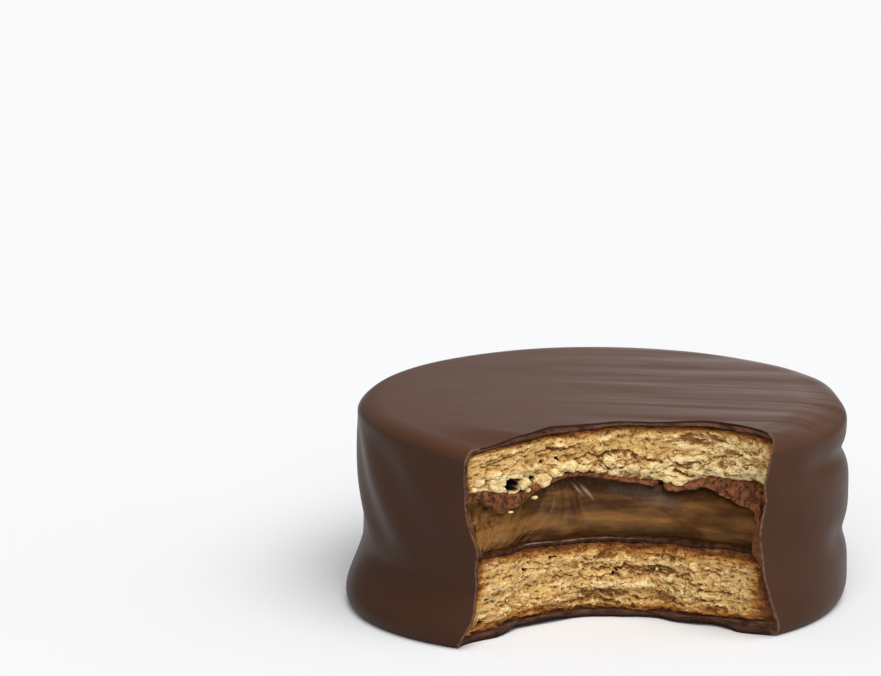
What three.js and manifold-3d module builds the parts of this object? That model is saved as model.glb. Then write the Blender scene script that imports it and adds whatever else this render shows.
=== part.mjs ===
// A filled biscuit with one bite taken: two thick round biscuits with a caramel filling between
// them, in one coat of dark chocolate. Millimetres, +Z up. The origin is on the drum's axis, on
// the surface that it stands on, and the bite faces -Y.

import * as THREE from 'three';
import { mergeVertices } from 'three/addons/utils/BufferGeometryUtils.js';
import Module from 'manifold-3d';

const wasm = await Module();
wasm.setup();

// Driving dimensions of the drum and of what lies in it, from the floor up.
const DRUM_RADIUS = 33;
const COAT_BASE = 1.5;
const LOWER_BISCUIT = 8.85;
const FILLING = 6.5;
const UPPER_BISCUIT = 7.5;
const COAT_LID = 1.15;
const CLEARANCE = 0.3;

// The coat's wall beside a biscuit, and beside the filling, where it has run into the gap.
const COAT_WALL = 1.2;
const COAT_RIDGE = 2.6;

// The rounding of each layer's edges.
const BISCUIT_EDGE = 1.3;
const FILLING_EDGE = 1.5;
const CAVITY_EDGE = 1.2;

// The rolled upper edge and the tucked-in heel.
const RIM_WIDTH = 3.5;
const RIM_DROP = 1.8;
const HEEL_TUCK = 1.3;
const HEEL_HEIGHT = 2.8;

// The unevenness of the drum's side, as depths or reaches in millimetres at an angle in degrees
// from +X. Two grooves run across the right, where the coat sagged between fuller bands. The
// left has slanting drapes under its shoulder, a waist, and a foot where the lower biscuit and
// its coat spread outwards. Behind is a slight swell.
const UPPER_GROOVE = { depth: 0.75, level: 20.6, rise: 1.4, width: 1.7, from: -54, to: 60 };
const LOWER_GROOVE = { depth: 0.75, level: 9.4, rise: 1.3, width: 2.1, from: -44, to: 75 };
const FULL_BANDS = { reach: 0.35, from: -70, to: 110, top: 19.5 };
const DRAPES = { depth: 0.22, count: 16, slant: 1.6, angle: -160, spread: 45 };
const WAIST = { depth: 0.8, level: 9.5, width: 5, angle: -170, spread: 55 };
const FOOT = { reach: 3.9, height: 8, angle: -150, spread: 42 };
const REAR_SWELL = { reach: 0.5, level: 16, width: 9, angle: 118, spread: 28 };
const SIDE_NOISE = 0.16;

// Where the left of the lid stays flat nearly to its edge.
const FULL_RIM = { reach: 0.8, angle: -140, spread: 32 };

// The bite is a round body on an upright axis in front of the drum's centre, with lobes where
// the teeth took more or less. Their angles run round the bite's own axis from +X through +Y.
const BITE_X = -3;
const BITE_Y = -31;
const BITE_RADIUS = 16.9;
const RIGHT_LOBE = { reach: 5.2, angle: 31, spread: 30 };
const RIGHT_SHOULDER = { reach: -1.1, angle: 52, spread: 20 };
const RIGHT_CORNER = { reach: 1.5, angle: 10, spread: 16 };
const RIGHT_FOOT = { reach: 3, angle: 5, spread: 9, height: 9 };
const LEFT_CORNER = { reach: 2.4, from: 128, to: 165 };
const LEFT_SHOULDER = { reach: 2.3, from: 146, to: 163 };
const LEFT_FOOT = { reach: 2.6, from: 148, to: 168, height: 5 };
const TOOTH_MARKS = { depth: 0.35, count: 11 };

// What each layer adds to the bite's surface.
const CRAGS = { height: 0.55, size: 2.3 };
const CRUMB_HOLLOW = { depth: 1.9, angle: 137, spread: 3.4, above: 1.5, width: 1.1 };
const FILLING_RECESS = { top: 1.3, bottom: 2, swirl: 0.25 };
const BROKEN_COAT = 0.22;

// How finely the surfaces are cut.
const COAT_SEGMENTS = 84;
const COAT_STEP = 1.65;
const INNER_SEGMENTS = 60;
const INNER_STEP = 2.4;
const BITE_SEGMENTS = 108;
const BITE_STEP = 0.95;

// Heights of every layer, worked out from the thicknesses.
const CAVITY_FLOOR = COAT_BASE;
const LOWER_FLOOR = CAVITY_FLOOR + CLEARANCE;
const LOWER_TOP = LOWER_FLOOR + LOWER_BISCUIT;
const FILLING_FLOOR = LOWER_TOP + CLEARANCE;
const FILLING_TOP = FILLING_FLOOR + FILLING;
const UPPER_FLOOR = FILLING_TOP + CLEARANCE;
const UPPER_TOP = UPPER_FLOOR + UPPER_BISCUIT;
const CAVITY_TOP = UPPER_TOP + CLEARANCE;
const DRUM_HEIGHT = CAVITY_TOP + COAT_LID;

const BISCUIT_RADIUS = DRUM_RADIUS - COAT_WALL - CLEARANCE;
const FILLING_RADIUS = DRUM_RADIUS - COAT_RIDGE - CLEARANCE;

const { exp, hypot, floor, sin, cos, PI } = Math;
const { smoothstep, lerp, radToDeg, degToRad } = THREE.MathUtils;

// Small maths: a bell of unit height, a window with soft ends, and the turn between two angles.

function bell(value, centre, width) {
  return exp(-(((value - centre) / width) ** 2));
}

function windowed(value, from, to, softness) {
  return smoothstep(value, from, from + softness) * (1 - smoothstep(value, to - softness, to));
}

function turnFrom(angle, centre) {
  return THREE.MathUtils.euclideanModulo(angle - centre + 180, 360) - 180;
}

// Smooth noise in space from -1 to 1: eight fixed random values blended in each unit cell.

function cornerValue(x, y, z) {
  const mixed = sin(x * 127.1 + y * 311.7 + z * 74.7) * 43758.5453;
  return (mixed - floor(mixed)) * 2 - 1;
}

function noise(x, y, z) {
  const [cx, cy, cz] = [floor(x), floor(y), floor(z)];
  const [u, v, w] = [x - cx, y - cy, z - cz].map((t) => t * t * (3 - 2 * t));
  const corner = (dx, dy, dz) => cornerValue(cx + dx, cy + dy, cz + dz);
  const edge = (dy, dz) => lerp(corner(0, dy, dz), corner(1, dy, dz), u);
  const face = (dz) => lerp(edge(0, dz), edge(1, dz), v);
  return lerp(face(0), face(1), w);
}

// How far the drum's side stands in or out at an angle and height.

function atAngle(form, angle) {
  return bell(turnFrom(angle, form.angle), 0, form.spread);
}

function groove({ depth, level, rise, width, from, to }, angle, height) {
  const risen = level + rise * smoothstep(-angle, 12, 48);
  return -depth * bell(height, risen, width) * windowed(angle, from, to, 18);
}

function drapes(angle, height) {
  const across = turnFrom(angle, 180) + (height - DRUM_HEIGHT) * DRAPES.slant;
  const place = windowed(turnFrom(angle, DRAPES.angle), -DRAPES.spread, DRAPES.spread, 25);
  return DRAPES.depth * cos(degToRad(across) * DRAPES.count) * place * windowed(height, 8, 25.5, 4);
}

function fullBands(angle, height) {
  const place = windowed(angle, FULL_BANDS.from, FULL_BANDS.to, 35);
  return FULL_BANDS.reach * place * (1 - smoothstep(height, FULL_BANDS.top - 2.5, FULL_BANDS.top + 2.5));
}

function sideRelief(angle, height) {
  const foot = FOOT.reach * atAngle(FOOT, angle) * (1 - smoothstep(height, 0.8, FOOT.height));
  const waist = -WAIST.depth * atAngle(WAIST, angle) * bell(height, WAIST.level, WAIST.width);
  const swell = REAR_SWELL.reach * atAngle(REAR_SWELL, angle)
    * bell(height, REAR_SWELL.level, REAR_SWELL.width);
  return groove(UPPER_GROOVE, angle, height) + groove(LOWER_GROOVE, angle, height)
    + drapes(angle, height) + fullBands(angle, height) + foot + waist + swell
    + SIDE_NOISE * noise(angle / 23, height / 7, 3.5);
}

// A point of a body turned round the drum's axis moves with the side, in proportion to its radius.

function withSide(angle, radius, height) {
  return radius + (radius / DRUM_RADIUS) * sideRelief(angle, height);
}

function rimReach(angle, radius, height) {
  const place = windowed(radius, DRUM_RADIUS - RIM_WIDTH - 2, DRUM_RADIUS, 2.4);
  const onRim = smoothstep(height, DRUM_HEIGHT - RIM_DROP, DRUM_HEIGHT - RIM_DROP / 2);
  return FULL_RIM.reach * place * onRim * atAngle(FULL_RIM, angle);
}

// Radius of the bite's surface round its own axis. The right lobe and the left shoulder belong
// to the upper layers, and the right shoulder and corner to the lower ones.

function lobe({ reach, angle, spread }, at) {
  return reach * bell(at, angle, spread);
}

function flare({ reach, from, to }, at) {
  return reach * smoothstep(at, from, to);
}

function biteRadius(angle, height) {
  const upper = smoothstep(height, 12, 19);
  const lower = 1 - upper;
  const toothMarks = TOOTH_MARKS.depth * cos(degToRad(angle) * TOOTH_MARKS.count + height * 0.12);
  return BITE_RADIUS + toothMarks
    + upper * (lobe(RIGHT_LOBE, angle) + flare(LEFT_SHOULDER, angle))
    + lower * (lobe(RIGHT_SHOULDER, angle) + lobe(RIGHT_CORNER, angle))
    + lobe(RIGHT_FOOT, angle) * (1 - smoothstep(height, 0, RIGHT_FOOT.height))
    + flare(LEFT_FOOT, angle) * (1 - smoothstep(height, 0, LEFT_FOOT.height))
    + flare(LEFT_CORNER, angle);
}

// What each layer adds: crumbling crags in a biscuit, with a hollow in the upper one where a
// piece of the crumb fell out, a smooth sunken face in the filling, deepest low down, and a
// slightly broken edge in the coat.

function crags(angle, height, seed) {
  const along = (degToRad(angle) * BITE_RADIUS) / CRAGS.size;
  const up = (height / CRAGS.size) * 1.35;
  return CRAGS.height * (noise(along, up, seed) + 0.5 * noise(along * 2, up * 2, seed + 9));
}

function crumbHollow(angle, height) {
  const { depth, above, width } = CRUMB_HOLLOW;
  return depth * bell(angle, CRUMB_HOLLOW.angle, CRUMB_HOLLOW.spread)
    * bell(height, UPPER_FLOOR + above, width);
}

function lowerCrumb(angle, height) {
  return crags(angle, height, 1.5);
}

function upperCrumb(angle, height) {
  return crags(angle, height, 4.5) + crumbHollow(angle, height);
}

function sunken(angle, height) {
  const { top, bottom, swirl } = FILLING_RECESS;
  const recess = lerp(bottom, top, smoothstep(height, FILLING_FLOOR, FILLING_TOP));
  return recess + swirl * noise(angle / 24, height / 2.4, 5.5);
}

function brokenEdge(angle, height) {
  return BROKEN_COAT * noise(angle / 7, height / 2.5, 2.5);
}

// Turns a geometry into a solid: shared corners merged, the flat triangles at the axis dropped,
// and the faces turned outwards if its volume comes out negative.

function signedVolume(positions, triangles) {
  let volume = 0;
  const [a, b, c] = [new THREE.Vector3(), new THREE.Vector3(), new THREE.Vector3()];
  for (let i = 0; i < triangles.length; i += 3) {
    a.fromArray(positions, triangles[i] * 3);
    b.fromArray(positions, triangles[i + 1] * 3);
    c.fromArray(positions, triangles[i + 2] * 3);
    volume += a.dot(b.cross(c)) / 6;
  }
  return volume;
}

function toSolid(geometry) {
  geometry.deleteAttribute('normal');
  geometry.deleteAttribute('uv');
  const merged = mergeVertices(geometry, 1e-4);
  const positions = merged.attributes.position.array;
  const corners = merged.index.array;
  const triangles = [];
  for (let i = 0; i < corners.length; i += 3) {
    const [a, b, c] = corners.slice(i, i + 3);
    if (a !== b && b !== c && c !== a) triangles.push(a, b, c);
  }
  if (signedVolume(positions, triangles) < 0) triangles.reverse();
  const mesh = new wasm.Mesh({
    numProp: 3,
    vertProperties: new Float32Array(positions),
    triVerts: new Uint32Array(triangles),
  });
  return new wasm.Manifold(mesh);
}

function toGeometry(solid) {
  const mesh = solid.getMesh();
  const geometry = new THREE.BufferGeometry();
  geometry.setAttribute('position', new THREE.BufferAttribute(mesh.vertProperties, 3));
  geometry.setIndex(new THREE.BufferAttribute(mesh.triVerts, 1));
  geometry.computeVertexNormals();
  return geometry;
}

// A body turned round an upright axis from a profile of [radius, height] pairs, its points then
// moved in or out by a function of their angle, radius and height.

function turned(profile, segments, newRadius) {
  const points = profile.map(([radius, height]) => new THREE.Vector2(radius, height));
  const geometry = new THREE.LatheGeometry(points, segments);
  geometry.rotateX(PI / 2);
  const position = geometry.attributes.position;
  for (let i = 0; i < position.count; i += 1) {
    const [x, y, z] = [position.getX(i), position.getY(i), position.getZ(i)];
    const radius = hypot(x, y);
    const angle = Math.atan2(y, x);
    const moved = radius < 1e-6 ? 0 : newRadius(radToDeg(angle), radius, z);
    position.setXY(i, moved * cos(angle), moved * sin(angle));
  }
  return geometry;
}

// Stretches of a profile: the points between the two ends of an upright side, and the points of
// a quarter round from its start to its end.

function uprightSide(radius, from, to, step) {
  const count = Math.max(1, Math.round((to - from) / step));
  return Array.from({ length: count - 1 }, (_, i) => [radius, lerp(from, to, (i + 1) / count)]);
}

function lowRound(radius, from, inward, upward, steps) {
  return Array.from({ length: steps + 1 }, (_, i) => {
    const turn = (i / steps) * (PI / 2);
    return [radius - inward * (1 - sin(turn)), from + upward * (1 - cos(turn))];
  });
}

function highRound(radius, to, inward, downward, steps) {
  return lowRound(radius, 0, inward, downward, steps).reverse().map(([r, z]) => [r, to - z]);
}

// The drum's outer profile: flat base, rounded heel, upright side, rolled rim, flat lid.

function drumProfile() {
  return [
    [0, 0],
    [DRUM_RADIUS * 0.6, 0],
    ...lowRound(DRUM_RADIUS, 0, HEEL_TUCK, HEEL_HEIGHT, 3),
    ...uprightSide(DRUM_RADIUS, HEEL_HEIGHT, DRUM_HEIGHT - RIM_DROP, COAT_STEP),
    ...highRound(DRUM_RADIUS, DRUM_HEIGHT, RIM_WIDTH, RIM_DROP, 6),
    [DRUM_RADIUS * 0.6, DRUM_HEIGHT],
    [0, DRUM_HEIGHT],
  ];
}

function drum() {
  return toSolid(turned(drumProfile(), COAT_SEGMENTS, (angle, radius, height) => (
    withSide(angle, radius, height) + rimReach(angle, radius, height)
  )));
}

// Everything inside follows the drum's side at a constant depth.

function innerBody(profile) {
  return toSolid(turned(profile, INNER_SEGMENTS, withSide));
}

function slabProfile(radius, from, to, edge) {
  return [
    [0, from],
    ...lowRound(radius, from, edge, edge, 2),
    ...uprightSide(radius, from + edge, to - edge, INNER_STEP),
    ...highRound(radius, to, edge, edge, 2),
    [0, to],
  ];
}

function cavityProfile() {
  const besideBiscuit = DRUM_RADIUS - COAT_WALL;
  const besideFilling = DRUM_RADIUS - COAT_RIDGE;
  return [
    [0, CAVITY_FLOOR],
    ...lowRound(besideBiscuit, CAVITY_FLOOR, CAVITY_EDGE, CAVITY_EDGE, 2),
    [besideBiscuit, (LOWER_FLOOR + LOWER_TOP) / 2],
    [besideBiscuit, LOWER_TOP],
    [besideFilling, FILLING_FLOOR + 0.6],
    [besideFilling, (FILLING_FLOOR + FILLING_TOP) / 2],
    [besideFilling, FILLING_TOP - 0.6],
    [besideBiscuit, UPPER_FLOOR],
    ...highRound(besideBiscuit, CAVITY_TOP, CAVITY_EDGE, CAVITY_EDGE, 2),
    [0, CAVITY_TOP],
  ];
}

// The body that the bite takes away from a layer. It stands well past the layer's faces.

function bite(from, to, surface) {
  const [low, high] = [from - BITE_STEP, to + BITE_STEP];
  const profile = [
    [0, low],
    [BITE_RADIUS, low],
    ...uprightSide(BITE_RADIUS, low, high, BITE_STEP),
    [BITE_RADIUS, high],
    [0, high],
  ];
  const geometry = turned(profile, BITE_SEGMENTS, (angle, radius, height) => {
    const fromRight = turnFrom(angle, 90) + 90;
    const reach = biteRadius(fromRight, height) + surface(fromRight, height);
    return (radius / BITE_RADIUS) * reach;
  });
  geometry.translate(BITE_X, BITE_Y, 0);
  return toSolid(geometry);
}

// The four pieces.

function coating() {
  return drum().subtract(innerBody(cavityProfile())).subtract(bite(0, DRUM_HEIGHT, brokenEdge));
}

function layer(radius, from, to, edge, surface) {
  return innerBody(slabProfile(radius, from, to, edge)).subtract(bite(from, to, surface));
}

const lowerBiscuit = layer(BISCUIT_RADIUS, LOWER_FLOOR, LOWER_TOP, BISCUIT_EDGE, lowerCrumb);
const filling = layer(FILLING_RADIUS, FILLING_FLOOR, FILLING_TOP, FILLING_EDGE, sunken);
const upperBiscuit = layer(BISCUIT_RADIUS, UPPER_FLOOR, UPPER_TOP, BISCUIT_EDGE, upperCrumb);

const pieces = [
  { name: 'coating', solid: coating(), color: 0x5a4036, roughness: 0.42 },
  { name: 'lower_biscuit', solid: lowerBiscuit, color: 0xb48b54, roughness: 0.9 },
  { name: 'filling', solid: filling, color: 0x76502c, roughness: 0.28 },
  { name: 'upper_biscuit', solid: upperBiscuit, color: 0xc4a168, roughness: 0.9 },
];

const alfajor = new THREE.Group();

for (const { name, solid, color, roughness } of pieces) {
  const material = new THREE.MeshStandardMaterial({ color, roughness, metalness: 0 });
  const mesh = new THREE.Mesh(toGeometry(solid), material);
  mesh.name = name;
  alfajor.add(mesh);
}

export default alfajor;
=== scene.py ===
"""A bitten sandwich cookie: two biscuits with a caramel filling in a chocolate coat."""
import math

import bmesh
import bpy
import numpy as np
from bpy.props import FloatProperty, FloatVectorProperty, IntProperty, PointerProperty
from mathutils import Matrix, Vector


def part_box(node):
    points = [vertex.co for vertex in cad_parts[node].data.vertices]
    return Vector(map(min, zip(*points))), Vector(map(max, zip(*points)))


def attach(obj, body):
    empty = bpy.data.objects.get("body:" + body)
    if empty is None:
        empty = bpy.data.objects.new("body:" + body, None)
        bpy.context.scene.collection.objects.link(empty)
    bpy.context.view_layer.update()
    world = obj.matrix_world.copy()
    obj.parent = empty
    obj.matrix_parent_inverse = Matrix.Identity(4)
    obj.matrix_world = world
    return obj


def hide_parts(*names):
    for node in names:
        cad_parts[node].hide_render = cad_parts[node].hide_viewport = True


bl_info = {
    "name": "Bitten Alfajor",
    "version": (1, 0, 0),
    "blender": (4, 5, 0),
    "location": "View3D > Sidebar > Alfajor",
    "description": "Chocolate-coated sandwich cookie with a bite taken out",
    "category": "Add Mesh",
}

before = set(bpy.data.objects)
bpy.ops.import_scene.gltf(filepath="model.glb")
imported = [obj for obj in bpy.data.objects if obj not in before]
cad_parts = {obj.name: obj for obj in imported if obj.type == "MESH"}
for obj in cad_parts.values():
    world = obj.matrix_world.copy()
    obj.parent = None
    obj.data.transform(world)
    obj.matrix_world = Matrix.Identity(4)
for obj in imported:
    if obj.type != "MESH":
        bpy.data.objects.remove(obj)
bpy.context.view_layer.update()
MM = 1000.0

UPPER_LOW, UPPER_HIGH = (corner.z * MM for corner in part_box("upper_biscuit"))
LOWER_LOW, LOWER_HIGH = (corner.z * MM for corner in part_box("lower_biscuit"))
FILLING_LOW, FILLING_HIGH = (corner.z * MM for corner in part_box("filling"))

# Lengths are millimetres and angles degrees. The side's angles are round the drum's axis and
# the bite's are round its own, both from +X towards +Y.
UPPER_GROOVE = dict(depth=0.75, level=20.6, rise=1.4, width=1.7, start=-54, end=60)
LOWER_GROOVE = dict(depth=0.75, level=9.4, rise=1.3, width=2.1, start=-44, end=75)
FULL_BANDS = dict(reach=0.35, start=-70, end=110, top=19.5)
DRAPES = dict(depth=0.22, count=16, slant=1.6, angle=-160, spread=45)
WAIST = dict(reach=-0.8, level=9.5, width=5, angle=-170, spread=55)
FOOT = dict(reach=3.9, height=8, angle=-150, spread=42)
REAR_SWELL = dict(reach=0.5, level=16, width=9, angle=118, spread=28)
# Where the rim is fuller or leaner, as reach, angle and spread
FULL_RIMS = ((0.8, -140, 32), (1.8, 78, 75), (-0.9, -38, 26), (0.7, 6, 22))
# Where the top's edge sinks beside the bite
SHOULDER_DIPS = (
    dict(depth=0.9, angle=-130, spread=14, start=23.0, end=29.5),
    dict(depth=0.8, angle=-28, spread=24, start=26.0, end=32.0),
)
# Depths of the side's slow unevenness and of the skin's fine waves, and how far the skin and
# the top lie inside the plain drum
SIDE_NOISE = 0.16
SKIN_WAVES = 0.035
SKIN_SINK = 0.045
TOP_SINK = 0.12
# Which way the top's ripples are drawn, as cosine and sine
RIPPLE_LEAN = (0.95, 0.31)
# Lobes of the bite, as reach, angle and spread
RIGHT_LOBE = (5.2, 31, 30)
RIGHT_SHOULDER = (-1.1, 52, 20)
RIGHT_CORNER = (1.5, 10, 16)
RIGHT_FOOT = (3.0, 5, 9)
RIGHT_CHEEK = (-0.75, 19, 8)
# How far the right edge lies beyond the plain bite at each height
RIGHT_EDGE = (
    (0, 1.5), (2, 0.6), (3.6, 0.45), (5.2, 0.47), (6.8, 0.65), (8.4, 0.55), (10, 0.4),
    (11.6, 0.22), (13.2, -0.12), (14.8, -0.5), (17.2, -0.5), (19.2, -0.2), (21, -0.55),
    (23, -0.3), (25, -0.1), (26.7, -0.25),
)
# Flares of the bite, as reach and the angles between which they grow
LEFT_SHOULDER = (2.3, 146, 163)
LEFT_CORNER = (2.4, 128, 165)
LEFT_FOOT = (2.2, 148, 168)
TOOTH_MARKS = dict(depth=0.35, count=11)
BITE_ENDS = (12.0, 162.0)
# Angles round the drum inside and outside the bite, for its right and its left corner
CORNER_SEARCH = ((-88.0, -30.0), (-92.0, -150.0))
CORNER_HALVINGS = 36

# The hollow inside the coat: the radius of its corners, how much its wall thickens upwards,
# and its ridge at the left of the bite
CAVITY_CORNER = 1.2
WALL_GROWTH = 0.9
LEFT_RIDGE = 0.9
# How far the layers reach beyond that wall and beyond their own edges
LAYER_INSET = -0.02
LAYER_OVERLAP = 0.03
# Where the crust and the film end, right and left, and how far they reach into the wall there
RIBBON_ENDS = (14, 160)
RIBBON_INSETS = (0.7, 0.3)
# Heights between which caramel is smeared over the broken coat
SMEARED = (9.9, 17.8)
# Lengths beyond every other, and just above 0
FAR, TINY = 99.0, 1e-6

# How finely the forms are divided
RIM_STEPS, SIDE_STEPS, HEEL_STEPS = 15, 62, 11
COAT_COLUMNS, COAT_BACK, LAYER_BACK = 430, 90, 84
BISCUIT_COLUMNS, UPPER_ROWS, LOWER_ROWS = 520, 84, 96
FILLING_COLUMNS, FILLING_ROWS = 380, 60
CRUST_COLUMNS, FILM_COLUMNS = 450, 380

# Edges along the bite, as (angle round the bite, height)
LID_UNDERSIDE = (
    (10, 25.6), (14, 25.7), (25, 25.7), (35, 25.7), (47, 25.75), (57, 25.85), (73, 26.05),
    (90, 25.9), (110, 25.55), (132, 25.65), (144, 25.5), (153, 25.2), (160, 24.9),
)
UPPER_UNDERSIDE = (
    (14, 18.6), (30, 18.9), (45, 18.7), (51, 18.3), (57, 17.7), (63, 17.8), (68, 18.2),
    (81, 18.7), (95, 19.6), (104, 20.1), (112, 19.4), (117, 18.9), (121, 19.1), (127, 18.8),
    (136, 18.5), (142, 18.9), (149, 19.5), (160, 19.8),
)
CRUST_UNDERSIDE = (
    (12, 13.5), (16, 13.7), (20, 14.5), (26, 15.5), (31, 16.0), (37, 16.4), (43, 16.8),
    (48, 17.4), (52, 17.3), (54, 16.9), (58, 16.7), (63, 17.1), (67, 17.7), (81, 18.25),
    (95, 19.15), (104, 19.6), (112, 18.95), (117, 18.4), (121, 17.7), (126, 17.2),
    (135, 16.8), (142, 16.3), (146, 16.9), (150, 18.0), (153, 18.8), (160, 19.3),
)
LOWER_TOPSIDE = (
    (14, 10.7), (32, 10.6), (52, 10.4), (72, 10.2), (90, 10.05), (110, 10.2), (126, 10.4),
    (146, 10.7), (162, 10.9),
)
LIP_TOPSIDE = (
    (10, 2.3), (16, 1.9), (25, 1.6), (36, 1.35), (51, 1.15), (67, 0.95), (81, 0.9), (95, 1.05),
    (104, 1.0), (112, 1.3), (120, 1.25), (126, 1.1), (139, 1.4), (152, 1.0), (162, 0.8),
)
LIP_UNDERSIDE = (
    (8, 0.0), (12, 0.0), (23, 0.0), (27, 0.3), (32, 0.45), (41, 0.5), (51, 0.3), (67, 0.2),
    (81, 0.15), (104, 0.25), (112, 0.65), (117, 0.6), (126, 0.4), (137, 0.65), (140, 0.3),
    (152, 0.15), (160, 0.0),
)

# Cracks in the crumb, as their points along the bite, then half width and depth
UPPER_CRACKS = (
    (((76.2, 22.0), (65.3, 21.1)), 0.22, 0.9),
    (((90, 21.7), (87, 22.5), (84, 22.6), (77.6, 22.3)), 0.12, 0.45),
    (((101.4, 21.8), (95.2, 22.6), (91.3, 21.8), (87.5, 20.0), (85.6, 18.9)), 0.13, 0.55),
    (((46.4, 21.6), (34.9, 22.4), (33.6, 23.1)), 0.13, 0.5),
    (((55.4, 20.7), (51.1, 20.5)), 0.15, 0.6),
    (((60.2, 19.4), (53.4, 18.9)), 0.2, 0.8),
    (((150.7, 23.0), (146.1, 23.1), (139.3, 23.7), (126.8, 24.6)), 0.13, 0.5),
    (((121.2, 23.3), (108.9, 23.2), (102.5, 23.5)), 0.13, 0.5),
    (((109.1, 22.2), (102.5, 22.7)), 0.12, 0.45),
    (((107.1, 20.0), (99.8, 19.8)), 0.25, 0.9),
)
LOWER_CRACKS = (
    (((154.4, 7.8), (151.0, 8.2), (143.6, 8.1)), 0.12, 0.45),
    (((112.4, 6.1), (103.6, 6.0)), 0.13, 0.45),
    (((127.6, 5.5), (123.4, 5.4)), 0.12, 0.4),
    (((99.1, 2.4), (95.5, 2.7), (91.3, 2.5), (86.1, 2.1), (81.0, 1.8)), 0.2, 0.85),
    (((84.1, 6.2), (70.1, 5.7)), 0.16, 0.65),
    (((55.6, 6.2), (46.5, 6.0)), 0.15, 0.6),
    (((41.8, 4.9), (28.2, 4.8)), 0.14, 0.5),
    (((44.8, 3.7), (38.5, 3.5)), 0.15, 0.6),
)
# Holes, as angle, height, half size along and up, depth
UPPER_HOLES = (
    (137.6, 19.9, 1.3, 0.95, 4.5), (124.6, 19.9, 0.95, 0.6, 3.4), (117.2, 22.0, 0.3, 0.2, 0.8),
    (110.7, 22.1, 0.25, 0.2, 0.8), (64.6, 17.9, 0.55, 0.45, 1.6),
)
LOWER_HOLES = (
    (113.0, 8.8, 0.45, 0.22, 1.0), (127.7, 7.9, 0.5, 0.2, 0.9), (138.1, 6.9, 0.22, 0.16, 0.7),
    (146.6, 6.2, 0.28, 0.22, 0.8), (154.7, 2.3, 0.5, 0.4, 1.2), (84.8, 5.9, 0.5, 0.2, 0.9),
    (82.7, 6.4, 0.3, 0.2, 0.8), (147.0, 4.8, 0.3, 0.25, 0.8), (151.2, 5.2, 0.25, 0.25, 0.8),
)
# Browner hollows, as angle, height, half size along and up, depth
UPPER_PATCHES = (
    (51.0, 23.9, 2.3, 0.8, 0.5), (97.0, 19.9, 1.2, 0.35, 0.3), (82.0, 22.3, 1.5, 0.4, 0.3),
    (56.0, 20.3, 1.2, 0.4, 0.3),
)
LOWER_PATCHES = (
    (69.5, 6.6, 4.0, 0.7, 0.55), (89.0, 3.2, 3.2, 0.8, 0.6), (62.0, 2.9, 2.2, 0.7, 0.45),
    (124.8, 2.0, 2.6, 0.4, 0.15), (34.8, 2.6, 1.6, 0.6, 0.3), (44.0, 5.6, 1.8, 0.35, 0.25),
    (87.0, 8.3, 2.4, 0.35, 0.25), (60.0, 8.6, 1.8, 0.35, 0.25),
    (156.5, 2.3, 1.6, 0.8, 0.3), (149.0, 1.7, 1.5, 0.5, 0.25), (98.0, 2.3, 1.6, 0.35, 0.3),
)
# Bands that stand out of the crumb, as angle, height, half size along and up, how far
UPPER_BANDS = (
    (112.0, 21.2, 2.4, 0.8, 0.25), (60.0, 20.9, 2.6, 0.7, 0.25), (38.0, 21.6, 1.8, 0.8, 0.2),
    (95.0, 24.0, 3.0, 0.6, 0.2),
)
LOWER_BANDS = (
    (77.0, 4.6, 5.5, 0.6, 0.4), (112.0, 4.6, 2.6, 0.9, 0.25), (140.0, 6.6, 2.6, 0.9, 0.25),
    (36.0, 6.4, 2.8, 1.0, 0.25), (48.0, 8.3, 2.2, 0.6, 0.25), (100.0, 8.4, 3.0, 0.5, 0.2),
)
# Swellings of the crumb itself, as angle, height, radius
UPPER_KNOBS = (
    (84.5, 21.1, 1.25), (96.0, 20.9, 0.9), (90.0, 19.9, 0.8), (76.0, 19.8, 0.9),
    (70.0, 19.4, 0.8), (147.5, 21.9, 0.9), (128.5, 21.5, 0.9), (122.5, 21.3, 0.7),
    (143.5, 19.2, 0.7), (38.0, 20.4, 0.9), (30.0, 20.6, 0.8), (46.0, 20.4, 0.8),
    (18.5, 23.9, 0.8), (24.5, 22.7, 0.9), (17.0, 21.6, 0.8), (22.0, 20.4, 0.8),
    (30.0, 24.0, 0.8), (34.0, 22.3, 0.8), (41.0, 23.2, 0.7), (152.0, 21.0, 0.7),
)
# Pale lumps that hang on the crumb, as angle, height, radius, and how wide each is
LUMPS = (
    (117.4, 19.5, 0.95, 1.0), (104.3, 21.0, 0.9, 1.05), (131.5, 19.9, 0.95, 0.9),
    (57.6, 18.2, 0.62, 1.9), (112.0, 20.3, 0.6, 1.1), (128.6, 18.8, 0.36, 1.2),
    (147.0, 20.1, 0.6, 1.1), (98.5, 20.6, 0.6, 1.2), (122.8, 17.4, 0.26, 1.8),
    (140.0, 16.5, 0.2, 2.0),
)
# The radius above which a grain gets finer faces, how far grains keep from the holes, and how
# long a degree of the bite is
LARGE_GRAIN = 0.35
HOLE_CLEARANCE = 1.5
MM_PER_DEGREE = 0.295
# Scrapes in the top of the filling, as angle, height and how far they lean; each is a shallow
# groove painted with a pale highlight
SCRAPES = ((99.5, 17.5, 0.75), (96.0, 17.2, 0.7), (94.0, 16.7, 0.6))
# A patch of crystals in the filling, as angle and height
CRYSTALS = (72.7, 15.1)

# Each light's tilt, heading and width in degrees
SUNS = dict(top=(27, 25, 56), front=(52, -8, 44), side=(62, 80, 60), back=(86, 162, 18))
# The floor and the camera's place in metres, and its dip and swing in radians
FLOOR_HALF = 6.0
CAMERA_LENS, CAMERA_SENSOR = 180.66, 36
CAMERA_PLACE = (-0.118846, -0.568883, 0.161656)
CAMERA_DIP, CAMERA_SWING = 0.21496903, 0.03753166 - math.radians(11.8)


def srgb(red, green, blue):
    """A display colour from 0 to 255 as the linear colour that a shader takes."""
    return tuple(
        c / 12.92 if c <= 0.04045 else ((c + 0.055) / 1.055) ** 2.4
        for c in (red / 255, green / 255, blue / 255)
    )
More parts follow.
